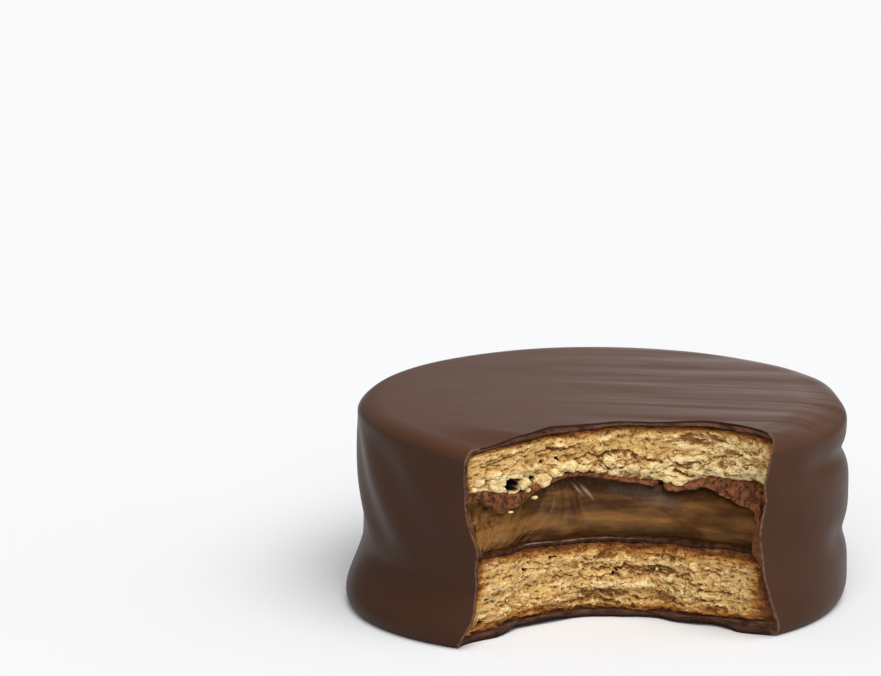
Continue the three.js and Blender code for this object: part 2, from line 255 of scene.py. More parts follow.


# Shades beside the colours that the sidebar sets
# Painted shade for the coat's left side, which stands away from the light
SKIN_LEFT_SHADE = srgb(65, 43, 32)
# Painted highlight along the skin's broken edges
RIM_HIGHLIGHT = srgb(142, 104, 84)
TORN_DARK = srgb(62, 39, 30)
TORN_FLECK = srgb(146, 110, 88)
STICKY_DARK = srgb(92, 58, 36)
STICKY_LIGHT = srgb(128, 86, 54)
# Painted highlight along the edges where caramel is smeared on the broken coat
STICKY_RIM_HIGHLIGHT = srgb(160, 116, 80)
# Painted shade along the top's broken edge, on the underside near the bite and low on the lip
CREASE_SHADE = srgb(38, 22, 18)
CRUMB_GRIT = srgb(158, 108, 58)
CRUMB_BROWNED = srgb(156, 98, 42)
CRUMB_MOTTLE = srgb(160, 114, 64)
# Near-black painted shadow inside the crumb's holes
CRUMB_HOLE_SHADOW = srgb(24, 13, 8)
CRUST_DARK = srgb(76, 40, 20)
CRUST_GRIT = srgb(172, 118, 78)
# Near-black painted shadow in the crust's pores
CRUST_PORE_SHADOW = srgb(26, 13, 8)
CRUST_TAN_DARK = srgb(134, 88, 50)
CRUST_TAN_LIGHT = srgb(172, 120, 72)
# Painted highlight along the caramel's scrapes and scratches
CARAMEL_SCRAPE_GLINT = srgb(190, 176, 150)
FILM_DARK = srgb(40, 21, 12)
FILM_GLINT = srgb(206, 182, 164)
GRAIN_DARK = srgb(210, 174, 112)
GRAIN_GRIT = srgb(186, 140, 84)
FLOOR_CLOUD = srgb(240, 240, 240)


def mix(low, high, share):
    """A value between two, as far along as share says."""
    return low + (high - low) * share


def smooth(value, low, high):
    """0 below low and 1 above high, with an S-shaped rise between them."""
    share = np.clip((value - low) / (high - low), 0, 1)
    return share * share * (3 - 2 * share)


def bell(value, centre, width):
    """1 at the centre, falling off to both sides."""
    return np.exp(-(((value - centre) / width) ** 2))


def window(value, start, end, soft):
    """1 between start and end, and 0 outside, with soft steps inside them."""
    return smooth(value, start, start + soft) * (1 - smooth(value, end - soft, end))


def turn(angle, centre):
    """How far an angle is round from centre, from -180 to 180."""
    return (angle - centre + 180) % 360 - 180


def polar(radius, angle):
    """X and Y of a point at an angle and a distance from an axis."""
    return radius * np.cos(np.radians(angle)), radius * np.sin(np.radians(angle))


def seam(angle):
    """Falls to 0 at 180 degrees, where the noise round the side would not meet itself."""
    return 1 - smooth(np.abs(angle), 165, 179)


def squarish(wave, power):
    """A wave from -1 to 1 that stays longer near both ends."""
    return np.sign(wave) * np.abs(wave) ** power


def chance(x, y, z):
    """A fixed value from -1 to 1 for each whole x, y and z."""
    wave = np.sin(x * 127.1 + y * 311.7 + z * 74.7) * 43758.5453
    return (wave - np.floor(wave)) * 2 - 1


def noise(x, y, z):
    """Smooth noise from -1 to 1 with one swell for each unit."""
    x, y, z = np.broadcast_arrays(x, y, z)
    corner = [np.floor(v) for v in (x, y, z)]
    share = [(v - c) ** 2 * (3 - 2 * (v - c)) for v, c in zip((x, y, z), corner)]
    total = np.zeros(x.shape)
    for i in (0, 1):
        for j in (0, 1):
            for k in (0, 1):
                weight = np.ones(x.shape)
                for s, on in zip(share, (i, j, k)):
                    weight = weight * (s if on else 1 - s)
                total += weight * chance(corner[0] + i, corner[1] + j, corner[2] + k)
    return total


def fractal(x, y, seed, layers=3, gain=0.55):
    """Smooth noise that carries finer and finer noise."""
    total, share = 0.0, 1.0
    for layer in range(layers):
        total = total + share * noise(x, y, seed + 9.7 * layer)
        x, y = 1.74 * x - 1.1 * y, 1.1 * x + 1.74 * y
        share *= gain
    return total


def cells(x, y, seed):
    """Distance to the nearest of the points scattered one to a square, how much farther the
    second nearest is, and the nearest one's luck."""
    column, row = np.floor(x), np.floor(y)
    nearest, second = np.full(x.shape, FAR), np.full(x.shape, FAR)
    luck = np.zeros(x.shape)
    for i in (-1, 0, 1):
        for j in (-1, 0, 1):
            a, b = column + i, row + j
            away = np.hypot(
                a + 0.5 + 0.42 * chance(a, b, seed) - x,
                b + 0.5 + 0.42 * chance(a, b, seed + 1.7) - y,
            )
            closer = away < nearest
            second = np.where(closer, nearest, np.minimum(second, away))
            nearest = np.where(closer, away, nearest)
            luck = np.where(closer, 0.5 + 0.5 * chance(a, b, seed + 3.1), luck)
    return nearest, second - nearest, luck


def pillows(x, y, seed, round_off):
    """Rounded lumps side by side: their height, from 0 in the creases to 1, and their luck."""
    _, gap, luck = cells(x, y, seed)
    return 1 - (1 - np.clip(gap / round_off, 0, 1)) ** 2, luck


def profile(angle, table, reach=1.2):
    """The height of an edge along the bite, with its corners eased."""
    at, heights = zip(*table)
    steps = (-2, -1, 0, 1, 2)
    return sum(np.interp(angle + step * reach, at, heights) for step in steps) / len(steps)


def ease(share, strength=0.7):
    """Shares from 0 to 1 set closer together at both ends."""
    return share - strength * np.sin(2 * np.pi * share) / (2 * np.pi)


class CookieSizes(bpy.types.PropertyGroup):
    """Sizes of the cookie, in metres."""

    drum_radius: FloatProperty(
        name="Drum radius", description="Radius of the coated cookie at its side",
        default=0.033, min=0.01, unit="LENGTH", precision=4)
    drum_height: FloatProperty(
        name="Drum height", description="Height of the coated cookie",
        default=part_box("coating")[1].z, min=0.01, unit="LENGTH", precision=4)
    rim_width: FloatProperty(
        name="Rim width", description="How far the top edge rounds over inwards",
        default=0.0035, unit="LENGTH", precision=4)
    rim_drop: FloatProperty(
        name="Rim drop", description="How far the top edge rounds over downwards",
        default=0.0018, unit="LENGTH", precision=4)
    heel_tuck: FloatProperty(
        name="Heel tuck", description="How far the side turns in at the bottom",
        default=0.0013, unit="LENGTH", precision=4)
    heel_height: FloatProperty(
        name="Heel height", description="Height over which the side turns in",
        default=0.0028, unit="LENGTH", precision=4)
    coat_wall: FloatProperty(
        name="Coat thickness", description="Thickness of the chocolate at the side",
        default=0.00045, unit="LENGTH", precision=5)
    coat_wall_left: FloatProperty(
        name="Coat at the left end", description="Thickness of the chocolate left of the bite",
        default=0.0006, unit="LENGTH", precision=4)
    coat_ridge: FloatProperty(
        name="Coat at the filling", description="Thickness of the chocolate beside the filling",
        default=0.0029, unit="LENGTH", precision=4)
    coat_lid: FloatProperty(
        name="Lid thickness", description="Thickness of the chocolate on the top",
        default=0.00115, unit="LENGTH", precision=4)
    coat_base: FloatProperty(
        name="Base thickness", description="Thickness of the chocolate underneath",
        default=0.0015, unit="LENGTH", precision=4)
    edge_round: FloatProperty(
        name="Broken edge", description="Rounding where the coat is broken",
        default=0.00016, unit="LENGTH", precision=5)
    bite_radius: FloatProperty(
        name="Bite radius", description="Mean radius of the bite",
        default=0.0169, unit="LENGTH", precision=4)
    bite_x: FloatProperty(
        name="Bite X", description="Centre of the bite across the cookie",
        default=-0.003, unit="LENGTH", precision=4)
    bite_y: FloatProperty(
        name="Bite Y", description="Centre of the bite from the cookie's axis",
        default=-0.031, unit="LENGTH", precision=4)
    crag_size: FloatProperty(
        name="Crag size", description="Length of the crumb's large unevenness",
        default=0.0023, unit="LENGTH", precision=4)
    crag_depth: FloatProperty(
        name="Crag depth", description="Depth of the crumb's large unevenness",
        default=0.00045, unit="LENGTH", precision=5)
    filling_sink: FloatProperty(
        name="Filling sink", description="How far the filling lies behind the crumb",
        default=0.0013, unit="LENGTH", precision=4)


class CookieColours(bpy.types.PropertyGroup):
    """Colours of the cookie's parts."""

    chocolate: FloatVectorProperty(
        name="Chocolate", description="Skin of the coat", subtype="COLOR",
        default=srgb(69, 46, 34), min=0, max=1)
    chocolate_light: FloatVectorProperty(
        name="Lighter chocolate", description="Paler clouds in the coat's skin",
        subtype="COLOR", default=srgb(78, 53, 40), min=0, max=1)
    # Painted light: the coat's upward faces are painted this lighter colour, standing in for
    # the light from above
    chocolate_top_lit: FloatVectorProperty(
        name="Top of the chocolate", description="Where the coat set in the air",
        subtype="COLOR", default=srgb(97, 64, 47), min=0, max=1)
    chocolate_broken: FloatVectorProperty(
        name="Broken chocolate", description="Where the coat is broken",
        subtype="COLOR", default=srgb(108, 76, 58), min=0, max=1)
    crumb: FloatVectorProperty(
        name="Crumb", description="Broken biscuit", subtype="COLOR",
        default=srgb(220, 180, 113), min=0, max=1)
    # Also a painted highlight: the crumb's convex tops are painted towards this colour, besides
    # its real pale lumps
    crumb_pale_and_lit: FloatVectorProperty(
        name="Pale crumb", description="Lumps that stand out of the broken biscuit",
        subtype="COLOR", default=srgb(244, 224, 168), min=0, max=1)
    crumb_golden: FloatVectorProperty(
        name="Golden crumb", description="Crumb near the baked edges",
        subtype="COLOR", default=srgb(192, 138, 70), min=0, max=1)
    # Painted shade: the crumb's cracks, hollows and browner patches are painted towards this
    # colour by how deep they lie
    crumb_hollow_shade: FloatVectorProperty(
        name="Crumb hollows", description="Cracks and holes of the biscuit",
        subtype="COLOR", default=srgb(118, 74, 34), min=0, max=1)
    toast: FloatVectorProperty(
        name="Toasted edge", description="Where the biscuit's skin was baked",
        subtype="COLOR", default=srgb(88, 48, 21), min=0, max=1)
    crust: FloatVectorProperty(
        name="Crust", description="Baked skin between the biscuit and the filling",
        subtype="COLOR", default=srgb(134, 78, 43), min=0, max=1)
    caramel: FloatVectorProperty(
        name="Caramel", description="Filling", subtype="COLOR",
        default=srgb(140, 98, 52), min=0, max=1)
    # Also painted shade: the filling is painted towards this colour under the crust, at its
    # bottom and at its ends
    caramel_veil_and_shade: FloatVectorProperty(
        name="Dark caramel", description="Darker veils in the filling",
        subtype="COLOR", default=srgb(66, 40, 18), min=0, max=1)
    film: FloatVectorProperty(
        name="Caramel film", description="Sticky film along the lower biscuit",
        subtype="COLOR", default=srgb(76, 44, 25), min=0, max=1)
    grain: FloatVectorProperty(
        name="Grains", description="Loose lumps and grains of biscuit", subtype="COLOR",
        default=srgb(236, 214, 158), min=0, max=1)
    floor: FloatVectorProperty(
        name="Floor", description="Plain floor under the cookie", subtype="COLOR",
        default=(0.875, 0.88, 0.89), min=0, max=1)


class StudioLights(bpy.types.PropertyGroup):
    """Light around the cookie."""

    surround: FloatProperty(
        name="Surround", description="Strength of the even light from all sides",
        default=0.3, min=0)
    top: FloatProperty(
        name="Top light", description="Strength of the soft light overhead", default=0.6, min=0)
    front: FloatProperty(
        name="Front light", description="Strength of the soft light at the bite",
        default=0.36, min=0)
    back: FloatProperty(
        name="Back light", description="Strength of the soft light across the top",
        default=0.03, min=0)
    side: FloatProperty(
        name="Side light", description="Strength of the soft light from the right",
        default=0.06, min=0)


class Alfajor(bpy.types.PropertyGroup):
    """Everything that a user sets for the cookie."""

    sizes: PointerProperty(name="Sizes", description="Sizes of the cookie", type=CookieSizes)
    colours: PointerProperty(name="Colours", description="Colours", type=CookieColours)
    studio: PointerProperty(name="Studio", description="Lights", type=StudioLights)
    granules: IntProperty(
        name="Granules", description="Loose grains scattered over the crumb",
        default=60, min=0)


class Cookie:
    """The cookie's forms in millimetres, worked out from the sizes in the sidebar."""

    def __init__(self, context):
        sizes = context.scene.alfajor.sizes
        for name in CookieSizes.__annotations__:
            setattr(self, name, getattr(sizes, name) * MM)

    def side_relief(self, angle, height):
        """How far the side stands out of the plain drum."""
        relief = SIDE_NOISE * noise(angle / 23, height / 7, 3.5) * seam(angle)
        for groove in (UPPER_GROOVE, LOWER_GROOVE):
            level = groove["level"] + groove["rise"] * smooth(-angle, 12, 48)
            across = window(angle, groove["start"], groove["end"], 18)
            relief = relief - groove["depth"] * bell(height, level, groove["width"]) * across
        slanted = turn(angle, 180) + (height - self.drum_height) * DRAPES["slant"]
        span = DRAPES["spread"]
        relief = relief + (
            DRAPES["depth"] * np.cos(np.radians(slanted) * DRAPES["count"])
            * window(turn(angle, DRAPES["angle"]), -span, span, 25)
            * window(height, 8, 25.5, 4)
        )
        top = FULL_BANDS["top"]
        relief = relief + (
            FULL_BANDS["reach"] * window(angle, FULL_BANDS["start"], FULL_BANDS["end"], 35)
            * (1 - smooth(height, top - 2.5, top + 2.5))
        )
        for form in (FOOT, WAIST, REAR_SWELL):
            round_it = bell(turn(angle, form["angle"]), 0, form["spread"])
            if form is FOOT:
                up = 1 - smooth(height, 0.8, form["height"])
            else:
                up = bell(height, form["level"], form["width"])
            relief = relief + form["reach"] * round_it * up
        return relief

    def side(self, angle, radius, height):
        """The radius of the wavy side where the plain drum has radius."""
        angle = turn(angle, 0)
        return radius + radius / self.drum_radius * self.side_relief(angle, height)

    def skin(self, angle, radius, height):
        """The radius of the coat's outer skin, with its full rim."""
        high = self.drum_height
        rise = smooth(height, high - self.rim_drop, high - self.rim_drop / 2)
        band = window(radius, self.drum_radius - self.rim_width - 2, self.drum_radius, 2.4)
        full = sum(
            reach * bell(turn(angle, centre), 0, spread)
            for reach, centre, spread in FULL_RIMS)
        around = turn(angle, 0)
        waves = SKIN_WAVES * noise(around / 7, height / 2.6, 8.5) * seam(around) - SKIN_SINK
        return self.side(angle, radius, height) + full * rise * band + waves

    def bite(self, angle, height):
        """The radius of the bite round its own axis."""
        upper = smooth(height, 12, 19)
        lower = 1 - upper

        def lobe(form):
            reach, centre, spread = form
            return reach * bell(angle, centre, spread)

        def flare(form):
            reach, start, end = form
            return reach * smooth(angle, start, end)

        tooth = TOOTH_MARKS["depth"] * np.cos(
            np.radians(angle) * TOOTH_MARKS["count"] + height * 0.12)
        nips = profile(height, RIGHT_EDGE, 0.35) * bell(angle, 5, 13)
        cheek = lobe(RIGHT_CHEEK) * window(height, 17, 25.6, 2)
        return (
            self.bite_radius + tooth + nips + cheek
            + upper * (lobe(RIGHT_LOBE) + flare(LEFT_SHOULDER))
            + lower * (lobe(RIGHT_SHOULDER) + lobe(RIGHT_CORNER))
            + lobe(RIGHT_FOOT) * (1 - smooth(height, 0, 9))
            + flare(LEFT_FOOT) * (1 - smooth(height, 0, 5)) + flare(LEFT_CORNER)
        )

    def broken_coat(self, angle, height):
        """The bite where it goes through chocolate, which breaks in shallow scallops."""
        along = np.radians(angle) * self.bite_radius
        scallops = np.abs(noise(along / 1.9, height / 1.1, 12.5))
        return (
            self.bite(angle, height) + 0.22 * noise(angle / 7, height / 2.5, 2.5)
            + 0.1 * scallops + 0.05 * noise(along / 0.55, height / 0.4, 13.5)
        )

    def at_bite(self, angle, radius):
        """X and Y of a point round the bite's axis."""
        x, y = polar(radius, angle)
        return self.bite_x + x, self.bite_y + y

    def round_bite(self, x, y):
        """Angle and distance of a point round the bite's axis."""
        dx, dy = x - self.bite_x, y - self.bite_y
        angle = np.degrees(np.arctan2(dy, dx))
        return np.where(angle < -90, angle + 360, angle), np.hypot(dx, dy)

    def mouth(self, skin, radius, height, bite):
        """Where a skin meets the bite at each height: its two angles round the drum, right
        then left, and the same two round the bite."""
        drum, own = [], []
        for inside, outside in CORNER_SEARCH:
            near = np.full(np.shape(height), inside)
            far = np.full(np.shape(height), outside)
            for _ in range(CORNER_HALVINGS):
                middle = (near + far) / 2
                angle, away = self.round_bite(*polar(skin(middle, radius, height), middle))
                bitten = away < bite(angle, height)
                near = np.where(bitten, middle, near)
                far = np.where(bitten, far, middle)
            drum.append(near)
            own.append(angle)
        return drum[0], drum[1] + 360, own[0], own[1]

    def outer_path(self):
        """Radius, height and lean of the coat's outline, from the top's edge to the base."""
        rim = np.radians(np.linspace(0, 90, RIM_STEPS))
        heel = np.radians(np.linspace(0, 90, HEEL_STEPS))
        low, high = self.heel_height, self.drum_height - self.rim_drop
        side = np.linspace(high, low, SIDE_STEPS)[1:-1]
        inner = self.drum_radius - self.rim_width
        radius = np.concatenate([
            inner + self.rim_width * np.sin(rim), np.full(side.shape, self.drum_radius),
            self.drum_radius - self.heel_tuck * (1 - np.cos(heel)),
        ])
        height = np.concatenate([
            high + self.rim_drop * np.cos(rim), side, low - low * np.sin(heel)])
        lean = np.concatenate([np.pi / 2 - rim, np.zeros(side.shape), -heel])
        return radius, height, lean

    def shoulder(self, x, y):
        """How far the top's edge sinks beside the bite."""
        angle, away = np.degrees(np.arctan2(y, x)), np.hypot(x, y)
        return sum(
            dip["depth"] * bell(turn(angle, dip["angle"]), 0, dip["spread"])
            * smooth(away, dip["start"], dip["end"]) for dip in SHOULDER_DIPS)

    def top_sag(self, x, y):
        """How far the top lies below the highest level: slow swells and faint drawn ripples."""
        cosine, sine = RIPPLE_LEAN
        along, across = x * cosine - y * sine, x * sine + y * cosine
        drawn = smooth(along, -10, 14)
        ripple = noise(along / 16 + across / 30, across / 3.8, 21.5)
        fine = noise(along / 11, across / 2.1 + along / 30, 23.5)
        swell = noise(x / 12, y / 12, 22.5)
        return TOP_SINK + drawn * (0.08 * ripple + 0.02 * fine) + 0.03 * swell

    def cavity(self, height, low, high, left=0.0):
        """The coat's inner radius, with round corners and the ridge beside the filling. It is
        thinner at the bite's left end, where left is 1."""
        wall = self.coat_wall + WALL_GROWTH * smooth(height, 14, 18)
        wall = mix(wall, self.coat_wall_left, left)
        ridge = window(height, FILLING_LOW - 1.1, FILLING_HIGH + 1.1, 1.3)
        radius = self.drum_radius - mix(wall, mix(self.coat_ridge, LEFT_RIDGE, left), ridge)
        inset = np.clip(1 - np.minimum(height - low, high - height) / CAVITY_CORNER, 0, 1)
        return radius - CAVITY_CORNER * (1 - np.sqrt(1 - inset ** 2))

    def layer_edge(self, height, inset, left=0.0):
        """The radius of a layer inside the coat, far from the hollow's round corners."""
        return self.cavity(height, -FAR, FAR, left) + inset

    def keep_inside(self, x, y, height, inset):
        """Brings points that lie beyond the coat's inner side back to it."""
        left = smooth(-x, 10, 15)
        limit = self.side(
            np.degrees(np.arctan2(y, x)), self.layer_edge(height, inset, left), height)
        share = np.minimum(limit / np.hypot(x, y), 1)
        return x * share, y * share


class Solid:
    """Points and faces of one closed body, gathered patch by patch."""

    def __init__(self, *marks):
        self.points, self.faces = [], []
        self.marks = {name: [] for name in marks}
        self.count = 0

    def add(self, x, y, z, **marks):
        """Adds points and gives their numbers back in the same rows and columns."""
        x, y, z = np.broadcast_arrays(x, y, z)
        self.points.append(np.stack([x, y, z], -1).reshape(-1, 3))
        for name, values in self.marks.items():
            values.append(np.broadcast_to(marks.get(name, 0.0), x.shape).ravel())
        numbers = np.arange(self.count, self.count + x.size).reshape(x.shape)
        self.count += x.size
        return numbers

    def face(self, numbers):
        """Adds a face, without the points that it names twice."""
        kept = [n for i, n in enumerate(numbers) if n != numbers[i - 1]]
        if len(set(kept)) > 2:
            self.faces.append(kept)

    def grid(self, rows):
        """Faces between neighbouring rows and columns of points."""
        rows = np.asarray(rows).tolist()
        for upper, lower in zip(rows, rows[1:]):
            for i in range(len(upper) - 1):
                self.face((upper[i], lower[i], lower[i + 1], upper[i + 1]))

    def zip(self, first, second):
        """Triangles between two rows with different numbers of points."""
        first, second = list(first), list(second)
        i = j = 0
        last_i, last_j = len(first) - 1, len(second) - 1
        while i < last_i or j < last_j:
            if j == last_j or (i < last_i and (i + 1) * last_j <= (j + 1) * last_i):
                self.face((first[i], second[j], first[i + 1]))
                i += 1
            else:
                self.face((first[i], second[j], second[j + 1]))
                j += 1

    def build(self, name, material):
        """The body as an object that rides on the cookie."""
        mesh = bpy.data.meshes.new(name)
        points = np.concatenate(self.points) / MM
        mesh.from_pydata(points.tolist(), [], [[int(n) for n in f] for f in self.faces])
        for mark, values in self.marks.items():
            layer = mesh.attributes.new(mark, "FLOAT", "POINT")
            layer.data.foreach_set("value", np.concatenate(values).astype(np.float32))
        return place(name, mesh, material)


def place(name, mesh, material):
    """Puts a mesh in the scene as a piece of the cookie, without the points that no face
    uses and with its faces turned outwards."""
    shape = bmesh.new()
    shape.from_mesh(mesh)
    unused = [point for point in shape.verts if not point.link_faces]
    bmesh.ops.delete(shape, geom=unused, context="VERTS")
    bmesh.ops.recalc_face_normals(shape, faces=shape.faces)
    if shape.calc_volume(signed=True) < 0:
        bmesh.ops.reverse_faces(shape, faces=shape.faces)
    shape.to_mesh(mesh)
    shape.free()
    mesh.shade_smooth()
    mesh.materials.append(material)
    piece = bpy.data.objects.new(name, mesh)
    bpy.context.collection.objects.link(piece)
    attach(piece, "root")
    return piece


def rounding(away, size):
    """How far a surface has dropped at a distance from its rounded edge."""
    short = np.clip(size - away, 0, size)
    return size - np.sqrt(size ** 2 - short ** 2)


def coat_body(cookie):
    """The chocolate shell, open at the bite."""
    # The rim mark paints highlight lines along the broken edges, the crease mark paints shade
    # lines and darker undersides, and the top mark picks the upward faces that are painted
    # lighter
    solid = Solid("broken", "rim", "top", "crease", "smear")
    share = np.linspace(0, 1, COAT_COLUMNS)
    radius, height, lean = (v[:, None] for v in cookie.outer_path())
    right, left, bite_right, bite_left = cookie.mouth(
        cookie.skin, radius, height, cookie.broken_coat)
    angle = mix(right, left, ease(share))
    away = np.radians(np.minimum(angle - right, left - angle)) * radius
    edge = cookie.edge_round * (1 + 0.6 * noise(share * 60, 0.5, 31.5))
    drop = rounding(away, edge)
    upward, downward = np.clip(np.sin(lean), 0, 1), np.clip(-np.sin(lean), 0, 1)
    reach = cookie.skin(angle, radius, height)
    x, y = polar(reach, angle)
    z = height - (cookie.top_sag(x, y) + drop) * upward + drop * downward
    z = z - cookie.shoulder(x, y) * smooth(height, 17, 26)
    x, y = polar(reach - drop * np.cos(lean), angle)
    # The rim mark here is a painted highlight along the skin's broken edges
    side = solid.add(x, y, z, rim=np.clip(1.2 - away / 0.3, 0, 1), top=upward)
    solid.grid(side)

    def cap(row, level, bite_angle, count, power):
        """The top or the underside, from the bite's edge to the skin's outline. Gives its
        first row."""
        on_top = level > 0
        bx, by = cookie.at_bite(bite_angle, cookie.broken_coat(bite_angle, level))
        length = np.hypot(x[row] - bx, y[row] - by)
        rows = []
        for step in range(count):
            part = (step / count) ** power
            px, py = mix(bx, x[row], part), mix(by, y[row], part)
            far = mix(length * part, away[row], part)
            if on_top:
                sunk = level - cookie.top_sag(px, py) - cookie.shoulder(px, py)
                pz = sunk - rounding(far, edge)
                # Painted shade: a dark line along the top's edge at the bite
                crease = np.clip(1 - far / 0.3, 0, 1)
            else:
                lift = profile(bite_angle, LIP_UNDERSIDE)
                pz = lift * (1 - smooth(length * part, 1.5, 7)) + rounding(far, edge)
                # Painted shade: the underside is painted darker towards the bite's edge
                crease = np.clip(1 - far / 9, 0, 0.9)
            numbers = solid.add(px, py, pz, top=float(on_top), crease=crease)
            numbers[0], numbers[-1] = side[row, 0], side[row, -1]
            rows.append(numbers)
        solid.grid(rows + [side[row]])
        return rows[0]

    top_angle = mix(bite_right[0], bite_left[0], share)
    low_angle = mix(bite_right[-1], bite_left[-1], share)
    top_edge = cap(0, cookie.drum_height, top_angle, 66, 2.1)
    low_edge = cap(-1, 0.0, low_angle, 20, 2.2)

    # The hollow inside the shell, whose walls look more broken near the bite
    near_bite, behind = 0.5, 0.3
    ceiling, floor = cookie.drum_height - cookie.coat_lid, cookie.coat_base
    ends = []
    for left, end in enumerate(BITE_ENDS):
        low, high = profile(end, LIP_TOPSIDE), profile(end, LID_UNDERSIDE)
        level = mix(low, high, height / cookie.drum_height)
        ends.append((level, cookie.cavity(level, low - 0.05, high + 0.05, left)))
    meet = [
        cookie.mouth(cookie.side, reach, level, cookie.broken_coat) for level, reach in ends]
    inner_turn = (meet[0][0], meet[1][1])
    inner_bite = (meet[0][2], meet[1][3])
    shafts = []
    for (level, reach), start, inwards in zip(ends, inner_turn, (1, -1)):
        smear = window(level, *SMEARED, 1.0)
        columns = []
        # The rim mark on the first column is a painted highlight along the inner edge
        for depth in (0, 0.35, 0.8, 1.4, 2.2, 3.2):
            at = start + inwards * np.degrees(depth / reach)
            columns.append(solid.add(
                *polar(cookie.side(at, reach, level), at), level,
                broken=near_bite if depth == 0 else behind, smear=smear,
                rim=0.9 * smear if depth == 0 else 0.0)[:, 0])
        solid.grid(np.array(columns).T)
        shafts.append(columns)
    deep = np.linspace(0, 1, 14)[:, None]
    back_level = mix(ceiling, floor, deep)
    back_reach = cookie.cavity(back_level, floor - 0.05, ceiling + 0.05)
    around = mix(inner_turn[0][0] + 8, inner_turn[1][0] - 8, np.linspace(0, 1, COAT_BACK))
    wall = cookie.side(around, back_reach, back_level)
    hull = solid.add(*polar(wall, around), back_level, broken=behind)
    solid.grid(hull)
    solid.zip(shafts[0][-1], hull[:, 0])
    solid.zip(hull[:, -1], shafts[1][-1])

    def lining(row, edge_table, level, bite_angle):
        """The hollow's ceiling or floor: its edge at the bite, and the face behind it."""
        at_edge = profile(bite_angle, edge_table)
        bx, by = cookie.at_bite(bite_angle, cookie.broken_coat(bite_angle, at_edge))
        outline = mix(inner_turn[0][row, 0], inner_turn[1][row, 0], ease(share))
        reach = cookie.side(outline, cookie.drum_radius - cookie.coat_wall - 1, level)
        ox, oy = polar(reach, outline)
        length = np.hypot(ox - bx, oy - by) + TINY
        rows = []
        for step, depth in enumerate((0, 0.4, 1, 2, 3.4)):
            part = np.minimum(depth / length, 0.14 * step)
            pz = mix(at_edge, level, smooth(depth, 0, 3.4))
            numbers = solid.add(
                mix(bx, ox, part), mix(by, oy, part), pz,
                broken=near_bite if step == 0 else behind)
            for end, shaft in ((0, shafts[0]), (-1, shafts[1])):
                numbers[end] = shaft[0][row]
            rows.append(numbers)
        solid.grid(rows)
        near, far = ([column[row] for column in shaft] for shaft in shafts)
        solid.zip(rows[-1], near + list(hull[row]) + far[::-1])
        return rows[0]

    ceiling_angle = mix(inner_bite[0][0, 0], inner_bite[1][0, 0], share)
    floor_angle = mix(inner_bite[0][-1, 0], inner_bite[1][-1, 0], share)
    ceiling_edge = lining(0, LID_UNDERSIDE, ceiling, ceiling_angle)
    floor_edge = lining(-1, LIP_TOPSIDE, floor, floor_angle)

    def break_face(outer, inner, angles, levels, kind):
        """A broken face between the skin and the hollow."""
        rows, steps = [np.asarray(outer)], 9
        for step in range(1, steps):
            part = step / steps
            at, up = mix(*angles, part), mix(*levels, part)
            px, py = cookie.at_bite(at, cookie.broken_coat(at, up))
            # Painted light and shade on the broken faces: the lid gets a dark shade line next
            # to the top, the flanks a highlight line next to the skin, and the lip is painted
            # darker towards its bottom
            line = max(0.0, min(1.0, 1.6 - 6 * part))
            if kind == "lip":
                marks = dict(crease=0.85 - 0.75 * part)
            elif kind == "lid":
                marks = dict(crease=line)
            else:
                smear = window(up, *SMEARED, 1.0) * smooth(part, 0.1, 0.4)
                marks = dict(rim=line, smear=smear)
            rows.append(solid.add(px, py, up, broken=1.0, **marks))
        return rows + [np.asarray(inner)]

    def tie(rows, first, last):
        """Makes a broken face's ends share the points of the faces beside it."""
        for step, numbers in enumerate(rows):
            numbers[0], numbers[-1] = first[step], last[step]

    spot = cookie.at_bite(top_angle, cookie.bite(top_angle, cookie.drum_height))
    top_level = cookie.drum_height - cookie.top_sag(*spot) - cookie.shoulder(*spot) - edge
    low_level = profile(low_angle, LIP_UNDERSIDE) + edge
    flanks = []
    for end in (0, -1):
        levels = (z[:, end], ends[end][0][:, 0])
        angles = ((bite_right, bite_left)[end][:, 0], inner_bite[end][:, 0])
        rows = break_face(side[:, end], shafts[end][0], angles, levels, "flank")
        solid.grid(rows)
        flanks.append(rows)
    for kind, edges, angles, levels, row in (
        ("lid", (top_edge, ceiling_edge), (top_angle, ceiling_angle),
         (top_level, profile(ceiling_angle, LID_UNDERSIDE)), 0),
        ("lip", (low_edge, floor_edge), (low_angle, floor_angle),
         (low_level, profile(floor_angle, LIP_TOPSIDE)), -1),
    ):
        rows = break_face(edges[0].copy(), edges[1].copy(), angles, levels, kind)
        tie(rows, [r[row] for r in flanks[0]], [r[row] for r in flanks[1]])
        solid.grid(rows)
    return solid


